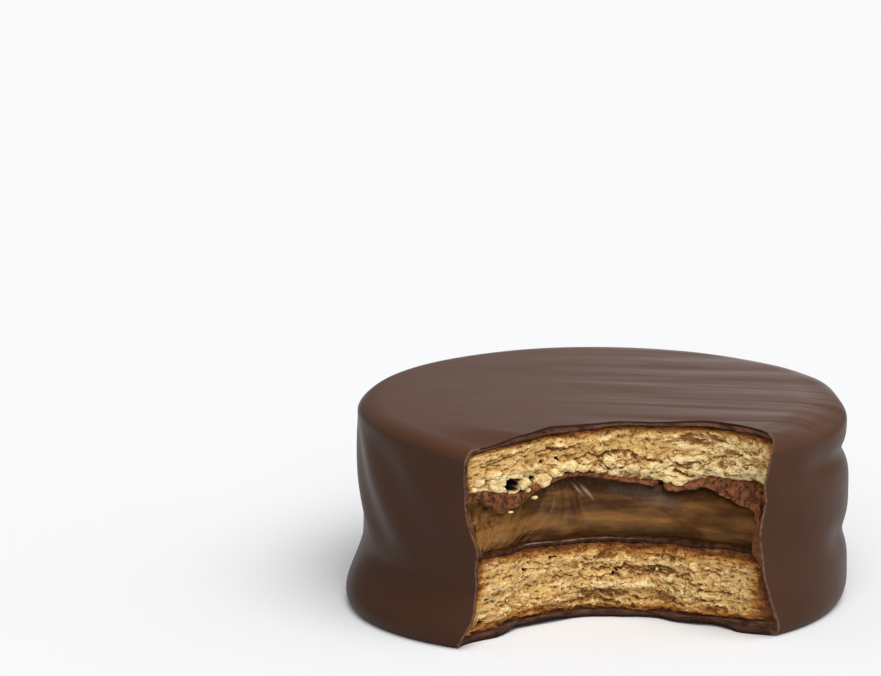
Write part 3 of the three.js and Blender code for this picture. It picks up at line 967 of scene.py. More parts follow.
def layer_body(cookie, marks, low, high, deep, inset, face, columns, rows):
    """A layer between the coat's walls, whose face in the bite is given by face()."""
    solid = Solid(*marks)
    share, up = np.linspace(0, 1, columns), np.linspace(0, 1, rows)[:, None]
    ends = [mix(low(end), high(end), up) for end in BITE_ENDS]
    meet = [cookie.mouth(cookie.side, cookie.layer_edge(z, inset, left), z, cookie.bite)
            for left, z in enumerate(ends)]
    start, stop = meet[0][2], meet[1][3]
    angle = mix(start, stop, share)
    z = mix(low(angle), high(angle), up)
    from_end = np.radians(np.minimum(angle - start, stop - angle)) * cookie.bite_radius
    reach, values = face(angle, z, up, from_end)
    x, y = cookie.keep_inside(*cookie.at_bite(angle, reach), z, inset)
    wall = solid.add(x, y, z, **values)
    solid.grid(wall)

    turn_share = ease(np.linspace(0, 1, LAYER_BACK))[1:-1]
    coarse = np.linspace(0, 1, 7)[:, None]
    at = mix(np.interp(coarse[:, 0], up[:, 0], meet[0][0][:, 0])[:, None],
             np.interp(coarse[:, 0], up[:, 0], meet[1][1][:, 0])[:, None], turn_share)
    settled = smooth(np.minimum(turn_share, 1 - turn_share), 0, 0.03)
    bottom, top = (
        mix(np.where(turn_share < 0.5, *(edge(end) for end in BITE_ENDS)), level, settled)
        for edge, level in zip((low, high), deep))
    back_z = mix(bottom, top, coarse)
    ring = cookie.side(at, cookie.layer_edge(back_z, inset), back_z)
    last = {name: 0.0 if name == "scraped" else 0.6 for name in marks}
    hull = solid.add(*polar(ring, at), back_z, **last)
    solid.grid(hull)
    solid.zip(wall[:, 0], hull[:, 0])
    solid.zip(hull[:, -1], wall[:, -1])
    for row, level in ((0, deep[0]), (-1, deep[1])):
        outline = mix(meet[0][0][row, 0], meet[1][1][row, 0], ease(share))
        ring = cookie.side(outline, cookie.layer_edge(level, inset), level)
        ox, oy = polar(ring, outline)
        length = np.hypot(ox - x[row], oy - y[row]) + TINY
        faces = [wall[row]]
        for step, depth in enumerate((0.3, 0.8, 1.7, 3.2)):
            part = np.minimum(depth / length, 0.15 * (step + 1))
            numbers = solid.add(mix(x[row], ox, part), mix(y[row], oy, part),
                                mix(z[row], level, smooth(depth, 0, 3.2)), **last)
            numbers[0], numbers[-1] = wall[row, 0], wall[row, -1]
            faces.append(numbers)
        solid.grid(faces)
        solid.zip(faces[-1], [wall[row, 0], *hull[row], wall[row, -1]])
    return solid


def near_line(along, height, points, scale):
    """Distance from a broken line whose points are angles round the bite and heights."""
    nearest = np.full(along.shape, FAR)
    for (a, za), (b, zb) in zip(points, points[1:]):
        ax, bx = np.radians(a) * scale, np.radians(b) * scale
        dx, dz = bx - ax, zb - za
        part = np.clip(((along - ax) * dx + (height - za) * dz) / (dx * dx + dz * dz), 0, 1)
        nearest = np.minimum(nearest, np.hypot(along - ax - part * dx, height - za - part * dz))
    return nearest


def blur(field, reach):
    """The mean over the neighbouring points of a grid, up to reach steps away."""
    for axis in (0, 1):
        pads = [(reach + 1, reach) if a == axis else (0, 0) for a in (0, 1)]
        total = np.cumsum(np.pad(field, pads, mode="edge"), axis)
        count = 2 * reach + 1
        ahead = np.take(total, range(count, total.shape[axis]), axis)
        behind = np.take(total, range(total.shape[axis] - count), axis)
        field = (ahead - behind) / count
    return field


def fissures(x, y, seed, width, cover):
    """1 along broken, wandering lines that taper out, and 0 between them."""
    open_by = smooth(fractal(x * 1.3 + 9, y * 1.1, seed + 3, 2), cover, cover + 0.6)
    away = np.abs(fractal(x, y, seed, 3)) / (width * open_by + 0.01)
    return np.clip(1 - away, 0, 1) * open_by


def toasting(angle, height, from_end, kind):
    """How far the crumb is baked brown near its edges. It falls below 0 away from them."""
    low = (height - height[:1]) / profile(angle, kind["low_toast"])
    high = (height[-1:] - height) / profile(angle, kind["high_toast"])
    return np.maximum.reduce([
        kind["low_brown"] * (1 - low), kind["high_brown"] * (1 - high),
        np.where(angle < 90, kind["right_brown"] - from_end / kind["right_toast"],
                 1 - from_end / kind["left_toast"]),
    ])


def crumb_face(cookie, angle, height, up, from_end, kind):
    """The broken face of a biscuit: its radius round the bite, and its marks for the colour."""
    scale, seed = cookie.bite_radius, kind["seed"]
    along = np.radians(angle) * scale
    wide, tall = kind["grain"]
    x = along + 0.5 * fractal(along / 1.3, height / 1.1, seed + 2, 4, 0.6)
    y = height + 0.34 * fractal(along / 1.4, height / 1.0, seed + 4, 4, 0.6)
    lump, luck = pillows(x / wide, y / tall, seed + 6, 0.5)
    knot_wide, knot_tall = kind["knot"]
    warp = 0.3 * fractal(along / 0.7, height / 0.6, seed + 46, 2)
    knot, knot_luck = pillows(
        (x + warp) / knot_wide, (y - 0.7 * warp) / knot_tall, seed + 8, 0.6)
    parted = smooth(fractal(x / (1.5 * wide), y / (1.4 * tall), seed + 10, 2), -0.1, 0.8)
    loose = smooth(fractal(x / (0.9 * wide), y / (0.9 * tall), seed + 12, 2), -0.1, 0.8)
    crack = fissures(x / (1.5 * wide), y / (1.2 * tall), seed + 10, 0.25, -0.2)
    tear = fissures(x / (0.6 * wide), y / (0.6 * tall), seed + 14, 0.4, -0.1)
    body = fractal(x / wide, y / tall, seed, 3, 0.6)
    strata = y / kind["ledge"] + 0.6 * noise(x / 4.5, 0.5, seed + 8)
    ledge = (1 - (strata - np.floor(strata))) * smooth(
        noise(along / 3.3, height / 1.6, seed + 9), -0.5, 0.5)
    pit_far, _, pit_luck = cells(x / 0.8, y / 0.6, seed + 18)
    pit = (1 - smooth(pit_far, 0.05, 0.34)) * smooth(pit_luck, 0.4, 0.9)
    soft = fractal(along / 0.5, height / 0.4, seed + 20, 3, 0.65)
    grain, grain_luck = pillows(x / 0.5, y / 0.4, seed + 40, 0.7)
    deep = kind["depths"]
    proud = (
        deep["swell"] * body + deep["lump"] * (luck - 0.5) * lump
        + deep["crease"] * (lump - 1) * parted + deep["fine_crease"] * (knot - 1) * loose
        + deep["knot"] * (knot_luck - 0.5) * knot + deep["ledge"] * ledge
        - deep["pit"] * pit - deep["crack"] * crack - deep["tear"] * tear + 0.1 * soft
        + 0.1 * (grain - 1) + 0.16 * (grain_luck - 0.5) * grain
    )
    for at, level, half in kind["knobs"]:
        away = np.hypot(x - np.radians(at) * scale, (y - level) * 1.15) / half
        proud = proud + 0.6 * half * np.sqrt(np.clip(1 - away ** 2, 0, 1))
    near_x = along + 0.4 * fractal(along / 1.1, height / 0.8, seed + 22)
    near_y = height + 0.28 * fractal(along / 1.1, height / 0.8, seed + 26)
    luck_there = 0.65 + 0.35 * noise(along / 0.8, height / 0.6, seed + 30)

    def away_from(at, level, broad, high):
        """Distance from a spot, 1 at the half sizes that it is given."""
        return np.hypot((near_x - np.radians(at) * scale) / broad, (near_y - level) / high)

    cracked, holed, brown, lined = (np.zeros(angle.shape) for _ in range(4))
    for points, half, depth in kind["cracks"]:
        away = near_line(near_x, near_y, points, scale)
        line = luck_there * (1 - smooth(away, 0.3 * half, 1.7 * half))
        cracked, lined = np.maximum(cracked, depth * line), np.maximum(lined, line)
    for *spot, depth in kind["holes"]:
        holed = np.maximum(holed, depth * (1 - smooth(away_from(*spot), 0.7, 1.1)))
    for *spot, swell in kind["bands"]:
        proud = proud + swell * (1 - smooth(away_from(*spot) + 0.3 * body, 0.5, 1.2))
    for *spot, depth in kind["patches"]:
        patch = 1 - smooth(away_from(*spot) + 0.35 * body, 0.5, 1.3)
        brown = np.maximum(brown, patch)
        cracked = np.maximum(cracked, depth * patch)
    proud = proud - np.maximum(cracked, holed)
    fine, middle, broad = (blur(proud, reach) - proud for reach in (2, 5, 12))
    crags = cookie.crag_depth * fractal(
        along / cookie.crag_size, height / cookie.crag_size * 1.35, seed + 34, 2)
    rim = 0.4 * (bell(up, 0, 0.05) + bell(up, 1, 0.03))
    recess = crags + rim + 0.4 - proud
    streaky = 0.4 * fractal(along / 1.7, height / 0.4, seed + 38)
    toast = toasting(angle, height, from_end, kind)
    toast = np.clip(toast * 1.15 + streaky, 0, 1.2) * smooth(toast, -0.5, 0.2)
    # Painted shade: this darkens what lies below its neighbours, the cracks and the browner
    # patches; holes go past 1 for a near-black painted shadow
    hollow = (
        fine * 1.8 + middle * 1.5 + broad * 1.2 + brown * (0.68 + 0.5 * body) + 0.55 * lined)
    dull = smooth(fractal(along / 1.6, height / 1.1, seed + 44, 2), -0.1, 0.7)
    # Partly painted highlight: besides the pale lumps, the broad term paints convex tops paler
    pale = (
        kind["pale"] * (1 - smooth(height, 19.4, 22.5)) * (0.4 + luck) - 1.7 * broad
        + 0.5 * (knot_luck - 0.5) * lump + 0.6 * (grain_luck - 0.6) * grain - 0.35 * dull
        + 0.45 * kind["pale"] * window(angle, 14, 66, 14)
    )
    marks = dict(
        hollow=np.maximum(np.clip(hollow, 0, 1), 2 * smooth(holed, 0.1, 0.5)),
        pale=np.clip(pale, 0, 1), toast=np.clip(toast + 0.15 * brown, 0, 1.2))
    return cookie.bite(angle, height) + mix(0.25, recess, smooth(from_end, 0.0, 0.7)), marks


# Each biscuit's crumb: the sizes of its lumps and of the smaller knots in them, along and up,
# the depths of its forms, and how far and how strongly it is baked brown from each edge
UPPER_CRUMB = dict(
    grain=(1.75, 1.25), knot=(1.3, 0.85), ledge=1.5, seed=4.5,
    depths=dict(swell=0.22, lump=0.6, crease=0.38, fine_crease=0.08, knot=0.12, ledge=0.2,
                pit=0.28, crack=0.34, tear=0.14),
    cracks=UPPER_CRACKS, holes=UPPER_HOLES, patches=UPPER_PATCHES, knobs=UPPER_KNOBS,
    bands=UPPER_BANDS, pale=0.85,
    low_toast=((14, 0.3), (160, 0.3)),
    high_toast=((10, 1.8), (28, 1.3), (45, 1.2), (75, 1.2), (105, 1.1), (125, 0.9),
                (160, 0.7)),
    right_brown=0.85, right_toast=1.4, left_toast=1.0, low_brown=0.7, high_brown=1.45,
)
LOWER_CRUMB = dict(
    grain=(1.7, 0.75), knot=(0.77, 0.38), ledge=0.95, seed=1.5,
    depths=dict(swell=0.24, lump=0.38, crease=0.34, fine_crease=0.12, knot=0.15, ledge=0.24,
                pit=0.42, crack=0.32, tear=0.14),
    cracks=LOWER_CRACKS, holes=LOWER_HOLES, patches=LOWER_PATCHES, knobs=(),
    bands=LOWER_BANDS, pale=0.1,
    low_toast=((10, 1.6), (60, 1.4), (90, 1.3), (110, 1.4), (125, 1.7), (162, 2.2)),
    high_toast=((10, 2.4), (60, 2.1), (90, 1.8), (120, 1.6), (140, 1.3), (162, 1.1)),
    right_brown=1.45, right_toast=2.4, left_toast=2.8, low_brown=0.95, high_brown=1.15,
)


def filling_face(cookie, angle, height, up, from_end):
    """The caramel's face, sunk behind the crumb and drawn into soft smears."""
    along = np.radians(angle) * cookie.bite_radius
    rise = smooth(up, 0.0, 0.35)
    sink = cookie.filling_sink + 0.45 * (1 - rise) + 0.5 * smooth(up, 0.6, 1)
    sink = mix(0.1, sink, np.maximum(smooth(from_end, 0, 5), 1 - smooth(angle, 100, 120)))
    swirl = 0.3 * noise(angle / 22, height / 2.2, 5.5)
    fan = 0.9 * np.clip((angle - 104) / 16, -1, 1)
    drawn = along + fan * (height - 15)
    drag = 0.1 * fractal(drawn / 0.8, height / 4, 41.5, 2) * window(angle, 88, 162, 14)
    drag = drag + 0.16 * fractal(along / 0.7, height / 0.6, 48.5) * smooth(angle, 138, 152)
    soft = 0.07 * fractal(along / 2.6, height / 1.1, 42.5)
    bubble_far, _, bubble_luck = cells(along / 1.9, height / 1.9, 43.5)
    bubble = 0.1 * (1 - smooth(bubble_far, 0.03, 0.12)) * smooth(bubble_luck, 0.8, 0.9)
    at, level = CRYSTALS
    spark = 0.16 * bell(along, np.radians(at) * cookie.bite_radius, 0.5)
    spark = spark * bell(height, level, 0.35) * noise(along / 0.18, height / 0.18, 44.5)
    # The scrapes and fine scratches are painted pale as highlights
    streaks, scraped = 0.0, 0.0
    for at, level, tilt in SCRAPES:
        offset = along - np.radians(at) * cookie.bite_radius - tilt * (height - level)
        streak = bell(offset, 0, 0.16) * bell(height, level, 0.7)
        streaks, scraped = streaks - 0.14 * streak, scraped + streak
    scratch = smooth(noise(drawn / 0.26, height / 2.6, 47.5), 0.5, 0.85)
    scratch = scratch * window(angle, 102, 136, 8) * window(up, 0.25, 1.0, 0.2)
    scraped = scraped + 0.3 * scratch
    recess = sink + (swirl + drag + soft + bubble + spark + streaks) * smooth(from_end, 0, 1)
    # Painted light: lit is a lighter band painted across the filling's middle
    lit = bell(height, 13.2, 1.6) * (window(angle, 50, 175, 25) + 0.5 * smooth(angle, 110, 135))
    middle = window(angle, 52, 128, 24)
    veil = 0.7 + 0.12 * middle + 0.35 * fractal(along / 5, height / 1.0, 45.5) - 0.36 * lit
    # Painted shade under the crust
    veil = veil + 0.3 * smooth(up, 0.6, 0.97) * window(angle, 30, 118, 20)
    veil = veil + 0.03 * (1 - smooth(angle, 30, 80)) + 0.26 * fractal(
        drawn / 1.1, height / 3.5, 46.5) * window(angle, 88, 162, 14)
    veil = veil + 0.3 * fractal(along / 0.8, height / 0.9, 49.5) * smooth(angle, 134, 150)
    # Painted shade at the bottom of the filling and at its ends
    veil = veil + 0.5 * (1 - smooth(up, 0.0, 0.14)) + 0.3 * (1 - smooth(from_end, 0, 0.8))
    marks = dict(veil=np.clip(veil, 0, 1), scraped=np.clip(scraped, 0, 1))
    return cookie.bite(angle, height) + recess, marks


def ribbon_body(cookie, columns, section):
    """A strip along the bite, whose section is depths behind the crumb and heights. Its ends
    are fitted to the coat's inner side."""
    solid = Solid("hollow", "tan")
    start, stop = RIBBON_ENDS
    angle = np.linspace(start, stop, columns)
    depth, height, hollow, tan = section(angle)
    levels = np.linspace(height.min(), height.max(), 24)
    right, left = (
        cookie.mouth(cookie.side, cookie.layer_edge(levels, inset, end), levels, cookie.bite)
        for end, inset in enumerate(RIBBON_INSETS))
    at_right, at_left = (np.clip(1 - away / 14, 0, 1) for away in (angle - start, stop - angle))
    angle = (
        angle + at_right * (np.interp(height, levels, right[2]) - start)
        + at_left * (np.interp(height, levels, left[3]) - stop))
    depth = depth + 0.5 * at_right ** 4 + 0.2 * at_left ** 4
    x, y = cookie.at_bite(angle, cookie.bite(angle, height) + depth)
    x, y = cookie.keep_inside(x, y, height, np.where(x > 0, *RIBBON_INSETS))
    loop = solid.add(x, y, height, hollow=hollow, tan=tan)
    solid.grid(np.vstack([loop, loop[:1]]))
    solid.face(list(loop[:, 0]))
    solid.face(list(loop[::-1, -1]))
    return solid


def crust_section(cookie, angle):
    """The crust under the upper biscuit, thick at both ends of the bite."""
    along = np.radians(angle) * cookie.bite_radius
    top = profile(angle, UPPER_UNDERSIDE) + 0.25
    low = profile(angle, CRUST_UNDERSIDE)
    notch = bell(angle, 64.8, 1.3)
    low = mix(low, top - 0.1, notch * 0.85)
    ragged = 0.45 + 0.55 * smooth(np.abs(angle - 90), 28, 40)
    low = low + 0.3 * ragged * fractal(along / 1.1, 0.5, 55.5)
    front = 0.1 + 0.12 * noise(along / 1.7, 0.5, 51.5) + 1.4 * notch
    back = 0.7 + 2.5 * window(angle, 14, 158, 12)
    turns = np.linspace(0, 2 * np.pi, 34)[:-1][:, None]
    middle, half = (top + low) / 2, (top - low) / 2
    height = middle - half * squarish(np.cos(turns), 0.7)
    depth = mix(front, back, 0.5 - 0.5 * squarish(np.sin(turns), 0.6))
    porous = smooth(90 - angle, 34, 46) + 0.85 * smooth(angle - 90, 26, 40)
    facing = smooth(-depth, -0.9, -0.1)
    pores, _, luck = cells(along / 0.62 + 0 * height, height / 0.5, 52.5)
    pore = (1 - smooth(pores, 0.1, 0.42)) * smooth(luck, 0.3, 0.6) * porous
    rough = 0.16 * fractal(along / 0.55, height / 0.4, 53.5, 3) * (0.45 + porous)
    depth = depth + facing * (0.55 * pore + rough + 0.3 * porous * noise(
        along / 1.4, height / 1.0, 54.5))
    tan = (1 - smooth(height, 14.6, 15.6)) * (1 - smooth(angle, 24, 32))
    # Painted highlight: a light line along the crust's lower edge at the right
    tan = np.maximum(tan, 0.8 * bell(height - low, 0.12, 0.14) * (1 - smooth(angle, 44, 58)))
    tan = np.maximum(tan, 0.6 * bell(height - low, 0.2, 0.25) * window(angle, 118, 148, 8))
    murk = 0.75 * smooth(angle, 140, 150) * (1 - smooth(height, 16.4, 18.8))
    hollow = np.maximum(pore * facing + 0.3 * (rough > 0.04), murk)
    return depth, height, np.clip(hollow, 0, 1) * (1 - tan), tan


def film_section(cookie, angle):
    """The glossy film along the top edge of the lower biscuit."""
    along = np.radians(angle) * cookie.bite_radius
    low = profile(angle, LOWER_TOPSIDE) - 0.25
    thick = 0.92 + 0.07 * noise(along / 2.3, 0.5, 61.5) + 0.03 * noise(along / 0.7, 0.5, 64.5)
    front = 0.55 + 0.12 * noise(along / 1.9, 0.5, 62.5) + 0.05 * noise(along / 0.6, 0.5, 63.5)
    turns = np.linspace(0, 2 * np.pi, 27)[:-1][:, None]
    share = 0.5 - 0.5 * squarish(np.cos(turns), 0.55)
    height = low + thick * share
    back = 0.9 + 2.5 * window(angle, 16, 158, 10)
    inwards = 0.5 - 0.5 * squarish(np.sin(turns), 0.4)
    depth = mix(front + 0.45 * (1 - share) ** 1.5, back, inwards)
    # Painted highlight: a light glint along the film's top front edge
    glint = bell(share, 0.95, 0.05) * smooth(-depth, -0.95, -0.7) * window(angle, 66, 140, 18)
    glint = glint * (0.5 + 0.8 * noise(along / 0.7, 0.5, 65.5))
    return depth, height + 0 * depth, 0 * depth, np.clip(glint, 0, 1) + 0 * depth


def ball(fineness):
    """Points and faces of a unit ball."""
    shape = bmesh.new()
    bmesh.ops.create_icosphere(shape, subdivisions=fineness, radius=1)
    points = np.array([v.co for v in shape.verts])
    faces = [[v.index for v in face.verts] for face in shape.faces]
    shape.free()
    return points, faces


def grain_mesh(name, grains):
    """One mesh of uneven grains, each given by its centre, radius and squash in millimetres."""
    large, small = ball(4), ball(2)
    points, faces, count = [], [], 0
    for number, (centre, radius, squash) in enumerate(grains):
        base, sides = large if radius > LARGE_GRAIN else small
        x, y, z = base.T
        swell = (
            1 + 0.3 * noise(x * 1.2 + number * 3.7, y * 1.2, z * 1.2 + 71)
            + 0.14 * noise(x * 2.9, y * 2.9 + number * 5.3, z * 2.9)
            + 0.05 * noise(x * 6 + number * 2.9, y * 6, z * 6)
        )
        points.append(base * swell[:, None] * radius * np.array(squash) + centre)
        faces += [[n + count for n in side] for side in sides]
        count += len(base)
    mesh = bpy.data.meshes.new(name)
    mesh.from_pydata((np.concatenate(points) / MM).tolist(), [], faces)
    return mesh


class Value:
    """A socket of a material's nodes. Arithmetic on it adds the Math nodes that work it out."""

    def __init__(self, paint, socket):
        self.paint, self.socket = paint, socket

    def work(self, operation, *values, clamp=False):
        settings = {"operation": operation, "use_clamp": clamp}
        return self.paint.node("ShaderNodeMath", settings, dict(enumerate(values)))

    def __add__(self, other):
        return self.work("ADD", self, other)

    def __sub__(self, other):
        return self.work("SUBTRACT", self, other)

    def __rsub__(self, other):
        return self.work("SUBTRACT", other, self)

    def __mul__(self, other):
        return self.work("MULTIPLY", self, other)

    __radd__ = __add__
    __rmul__ = __mul__

    def clamp(self):
        return self.work("ADD", self, 0.0, clamp=True)

    def over(self, low, high):
        """0 below low and 1 above high."""
        settings = {"interpolation_type": "SMOOTHSTEP"}
        sockets = {"Value": self, "From Min": low, "From Max": high}
        return self.paint.node("ShaderNodeMapRange", settings, sockets)


class Paint:
    """The nodes of one material."""

    def __init__(self, name):
        self.material = bpy.data.materials.new(name)
        self.material.use_nodes = True
        self.tree = self.material.node_tree
        self.tree.nodes.clear()
        self.place = self.node("ShaderNodeTexCoord", output="Object")

    def node(self, kind, settings=None, sockets=None, output=0):
        """Adds a node: its settings first, then the values and links of its sockets."""
        made = self.tree.nodes.new(kind)
        for name, value in (settings or {}).items():
            setattr(made, name, value)
        for name, value in (sockets or {}).items():
            if isinstance(value, Value):
                self.tree.links.new(value.socket, made.inputs[name])
            else:
                made.inputs[name].default_value = value
        return Value(self, made.outputs[output]) if made.outputs else None

    def noise(self, per_mm, detail=2.0, roughness=0.5, distortion=0.0, stretch=(1, 1, 1),
              lean=0.0):
        """Noise from 0 to 1 with that many swells to a millimetre, before it is turned by lean
        and stretched."""
        spot = self.node("ShaderNodeMapping", {"vector_type": "TEXTURE"}, {
            "Vector": self.place, "Rotation": (0, 0, lean), "Scale": [1 / s for s in stretch]})
        sockets = {"Vector": spot, "Scale": per_mm * MM, "Detail": detail,
                   "Roughness": roughness, "Distortion": distortion}
        return self.node("ShaderNodeTexNoise", None, sockets)

    def mark(self, name):
        """A mark that the mesh carries at its points."""
        return self.node("ShaderNodeAttribute", {"attribute_name": name}, output="Fac")

    def blend(self, share, first, second):
        """A colour between two, as far along as share says."""
        first, second = (c if isinstance(c, Value) else (*c, 1.0) for c in (first, second))
        sockets = {0: share, 6: first, 7: second}
        return self.node("ShaderNodeMix", {"data_type": "RGBA"}, sockets, output=2)

    def bump(self, height, depth_mm):
        """A normal from a height of 0 to 1 that stands for depth_mm."""
        sockets = {"Height": height, "Distance": depth_mm / MM}
        return self.node("ShaderNodeBump", None, sockets, output="Normal")

    def surface(self, **sockets):
        """Ends the material in a Principled shader; underscores stand for spaces."""
        named = {name.replace("_", " "): value for name, value in sockets.items()}
        shader = self.node("ShaderNodeBsdfPrincipled", None, named)
        self.node("ShaderNodeOutputMaterial", None, {"Surface": shader})
        return self.material


def chocolate_paint(colours):
    """Satin chocolate skin and its rougher, browner broken faces, with painted light: lighter
    upward faces, a darker left side, and painted highlight and shade lines along the edges.
    """
    paint = Paint("chocolate")
    broken = paint.mark("broken")
    cloud = paint.noise(0.07, 3.0, 0.55)
    skin = paint.blend(cloud.over(0.3, 0.75), colours.chocolate, colours.chocolate_light)
    across = paint.node("ShaderNodeSeparateXYZ", None, {"Vector": paint.place})
    # Painted shade: the skin is painted darker towards the cookie's left side
    skin = paint.blend((1 - across.over(-0.02, 0.006)) * 0.9, skin, SKIN_LEFT_SHADE)
    # Painted light: the upward faces are painted lighter, standing in for the light from above
    skin = paint.blend(paint.mark("top") * 0.6, skin, colours.chocolate_top_lit)
    fleck = paint.noise(2.2, 4.0, 0.65)
    # Painted highlight: a light, flecked line along the skin next to the broken edges
    skin = paint.blend(paint.mark("rim") * fleck.over(0.3, 0.6) * 0.75, skin, RIM_HIGHLIGHT)
    layer = paint.noise(0.7, 4.0, 0.6, stretch=(0.6, 0.6, 2.2))
    torn = paint.blend(layer.over(0.35, 0.65), TORN_DARK, colours.chocolate_broken)
    torn = paint.blend(fleck.over(0.55, 0.75) * 0.6, torn, TORN_FLECK)
    smear = paint.mark("smear")
    sticky = paint.blend(layer.over(0.3, 0.7), STICKY_DARK, STICKY_LIGHT)
    torn = paint.blend(smear, torn, sticky)
    colour = paint.blend(broken.over(0.0, 0.8), skin, torn)
    # Painted highlight: a light line along the broken edges where caramel is smeared
    colour = paint.blend(paint.mark("rim") * smear * 0.7, colour, STICKY_RIM_HIGHLIGHT)
    crease = paint.mark("crease")
    # Painted shade: dark lines along the top's edge, a darker underside and a lip that darkens
    # downwards
    colour = paint.blend(crease * 0.9, colour, CREASE_SHADE)
    draw = paint.noise(0.16, 2.0, 0.4, stretch=(0.6, 1.2, 1.0))
    fine = paint.noise(1.6, 3.0, 0.55)
    ripple = paint.noise(0.2, 1.5, 0.5, 0.5, (0.12, 1.0, 1.0), math.radians(-18))
    top = paint.mark("top")
    height = (
        draw * 0.7 + fine * 0.06 + fleck * broken * 1.4
        + ripple * top * across.over(-0.012, 0.016) * 3.5)
    roughness = 0.33 + cloud * 0.1 + broken * 0.2 + crease * 0.35
    return paint.surface(
        Base_Color=colour, Roughness=roughness, Normal=paint.bump(height, 0.12),
        Specular_IOR_Level=0.03, Coat_Weight=top * 0.13 + 0.04, Coat_Roughness=0.18,
        Coat_IOR=1.45)


def biscuit_paint(colours):
    """Baked crumb: pale lumps, toasted edges, cracks and hollows in painted brown shade, a
    near-black painted shadow in the holes, and painted highlights on convex tops.
    """
    paint = Paint("biscuit")
    speck = paint.noise(1.3, 4.0, 0.6)
    grit = paint.noise(3.4, 3.0, 0.65)
    crumb = paint.blend(paint.mark("pale").over(0.0, 1.0), colours.crumb, colours.crumb_pale_and_lit)
    crumb = paint.blend(speck.over(0.45, 0.75) * 0.35, crumb, colours.crumb_golden)
    crumb = paint.blend(grit.over(0.5, 0.68) * 0.5, crumb, CRUMB_GRIT)
    toast = paint.mark("toast") + (speck - 0.5) * 0.6
    golden = paint.blend(toast.over(0.0, 0.6), crumb, colours.crumb_golden)
    browned = paint.blend(toast.over(0.35, 0.8), golden, CRUMB_BROWNED)
    toasted = paint.blend(toast.over(0.7, 1.1), browned, colours.toast)
    hollow = paint.mark("hollow")
    shade = (hollow + (grit - 0.5) * 0.3).clamp()
    mottle = paint.noise(0.55, 3.0, 0.55).over(0.4, 0.65)
    toasted = paint.blend(mottle * 0.2, toasted, CRUMB_MOTTLE)
    # Painted shade in the hollows, and a near-black painted shadow in the holes
    colour = paint.blend(shade * 0.9, toasted, colours.crumb_hollow_shade)
    colour = paint.blend(hollow.over(1.0, 1.9), colour, CRUMB_HOLE_SHADOW)
    height = grit * 0.6 + speck * 0.4
    return paint.surface(
        Base_Color=colour, Roughness=0.72 + grit * 0.2, Normal=paint.bump(height, 0.14),
        Specular_IOR_Level=0.15)


def crust_paint(colours):
    """The reddish baked crust, dull and porous."""
    paint = Paint("crust")
    speck = paint.noise(1.2, 4.0, 0.6)
    grit = paint.noise(4.5, 3.0, 0.6)
    colour = paint.blend(speck.over(0.38, 0.6), CRUST_DARK, colours.crust)
    colour = paint.blend(grit.over(0.52, 0.7) * 0.6, colour, CRUST_GRIT)
    # Painted shadow: the pores are painted near black; the same mark also darkens the crust
    # towards its lower left end
    colour = paint.blend(paint.mark("hollow") * 0.9, colour, CRUST_PORE_SHADOW)
    drawn = paint.blend(speck.over(0.35, 0.65), CRUST_TAN_DARK, CRUST_TAN_LIGHT)
    # The tan mark carries tan drawn over the crust and a painted highlight line along its lower
    # edge
    colour = paint.blend(paint.mark("tan"), colour, drawn)
    return paint.surface(
        Base_Color=colour, Roughness=0.42 + grit * 0.3,
        Normal=paint.bump(grit * 0.5 + speck * 0.5, 0.12), Specular_IOR_Level=0.2)


def caramel_paint(colours):
    """Dense glossy caramel with darker veils, painted shade, a painted lit band and painted
    highlights along its scrapes.
    """
    paint = Paint("caramel")
    cloud = paint.noise(0.35, 3.0, 0.5, 0.6, (1.0, 1.0, 2.2))
    shade = (paint.mark("veil") * 0.75 + cloud * 0.25).over(0.1, 0.9)
    colour = paint.blend(shade, colours.caramel, colours.caramel_veil_and_shade)
    # Painted highlight: pale glints along the scrapes and scratches
    colour = paint.blend(paint.mark("scraped") * 0.5, colour, CARAMEL_SCRAPE_GLINT)
    drawn = paint.noise(1.1, 3.0, 0.5, 0.4, (1.4, 1.4, 0.35))
    return paint.surface(
        Base_Color=colour, Roughness=0.2 + cloud * 0.14,
        Normal=paint.bump(drawn, 0.08), Specular_IOR_Level=0.12)


def film_paint(colours):
    """The dark sticky film on the lower biscuit."""
    paint = Paint("film")
    speck = paint.noise(1.1, 2.0, 0.5)
    colour = paint.blend(speck.over(0.35, 0.65), FILM_DARK, colours.film)
    # Painted highlight: the glint along the film's top edge
    colour = paint.blend(paint.mark("tan"), colour, FILM_GLINT)
    return paint.surface(
        Base_Color=colour, Roughness=0.34 + speck * 0.15,
        Normal=paint.bump(speck, 0.03), Specular_IOR_Level=0.12)


def grain_paint(colours):
    """Loose pale grains of biscuit."""
    paint = Paint("grains")
    speck = paint.noise(1.1, 4.0, 0.6)
    grit = paint.noise(4.5, 3.0, 0.6)
    colour = paint.blend(speck.over(0.35, 0.55), GRAIN_DARK, colours.grain)
    colour = paint.blend(grit.over(0.5, 0.75) * 0.2, colour, GRAIN_GRIT)
    return paint.surface(
        Base_Color=colour, Roughness=0.7 + grit * 0.2, Normal=paint.bump(grit, 0.12),
        Specular_IOR_Level=0.2)


class ALFAJOR_OT_coating(bpy.types.Operator):
    """Builds the chocolate coat with its broken edges"""

    bl_idname = "alfajor.coating"
    bl_label = "Chocolate coat"

    def execute(self, context):
        cookie = Cookie(context)
        paint = chocolate_paint(context.scene.alfajor.colours)
        piece = coat_body(cookie).build("chocolate_coat", paint)
        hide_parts("coating")
        return {"FINISHED"}


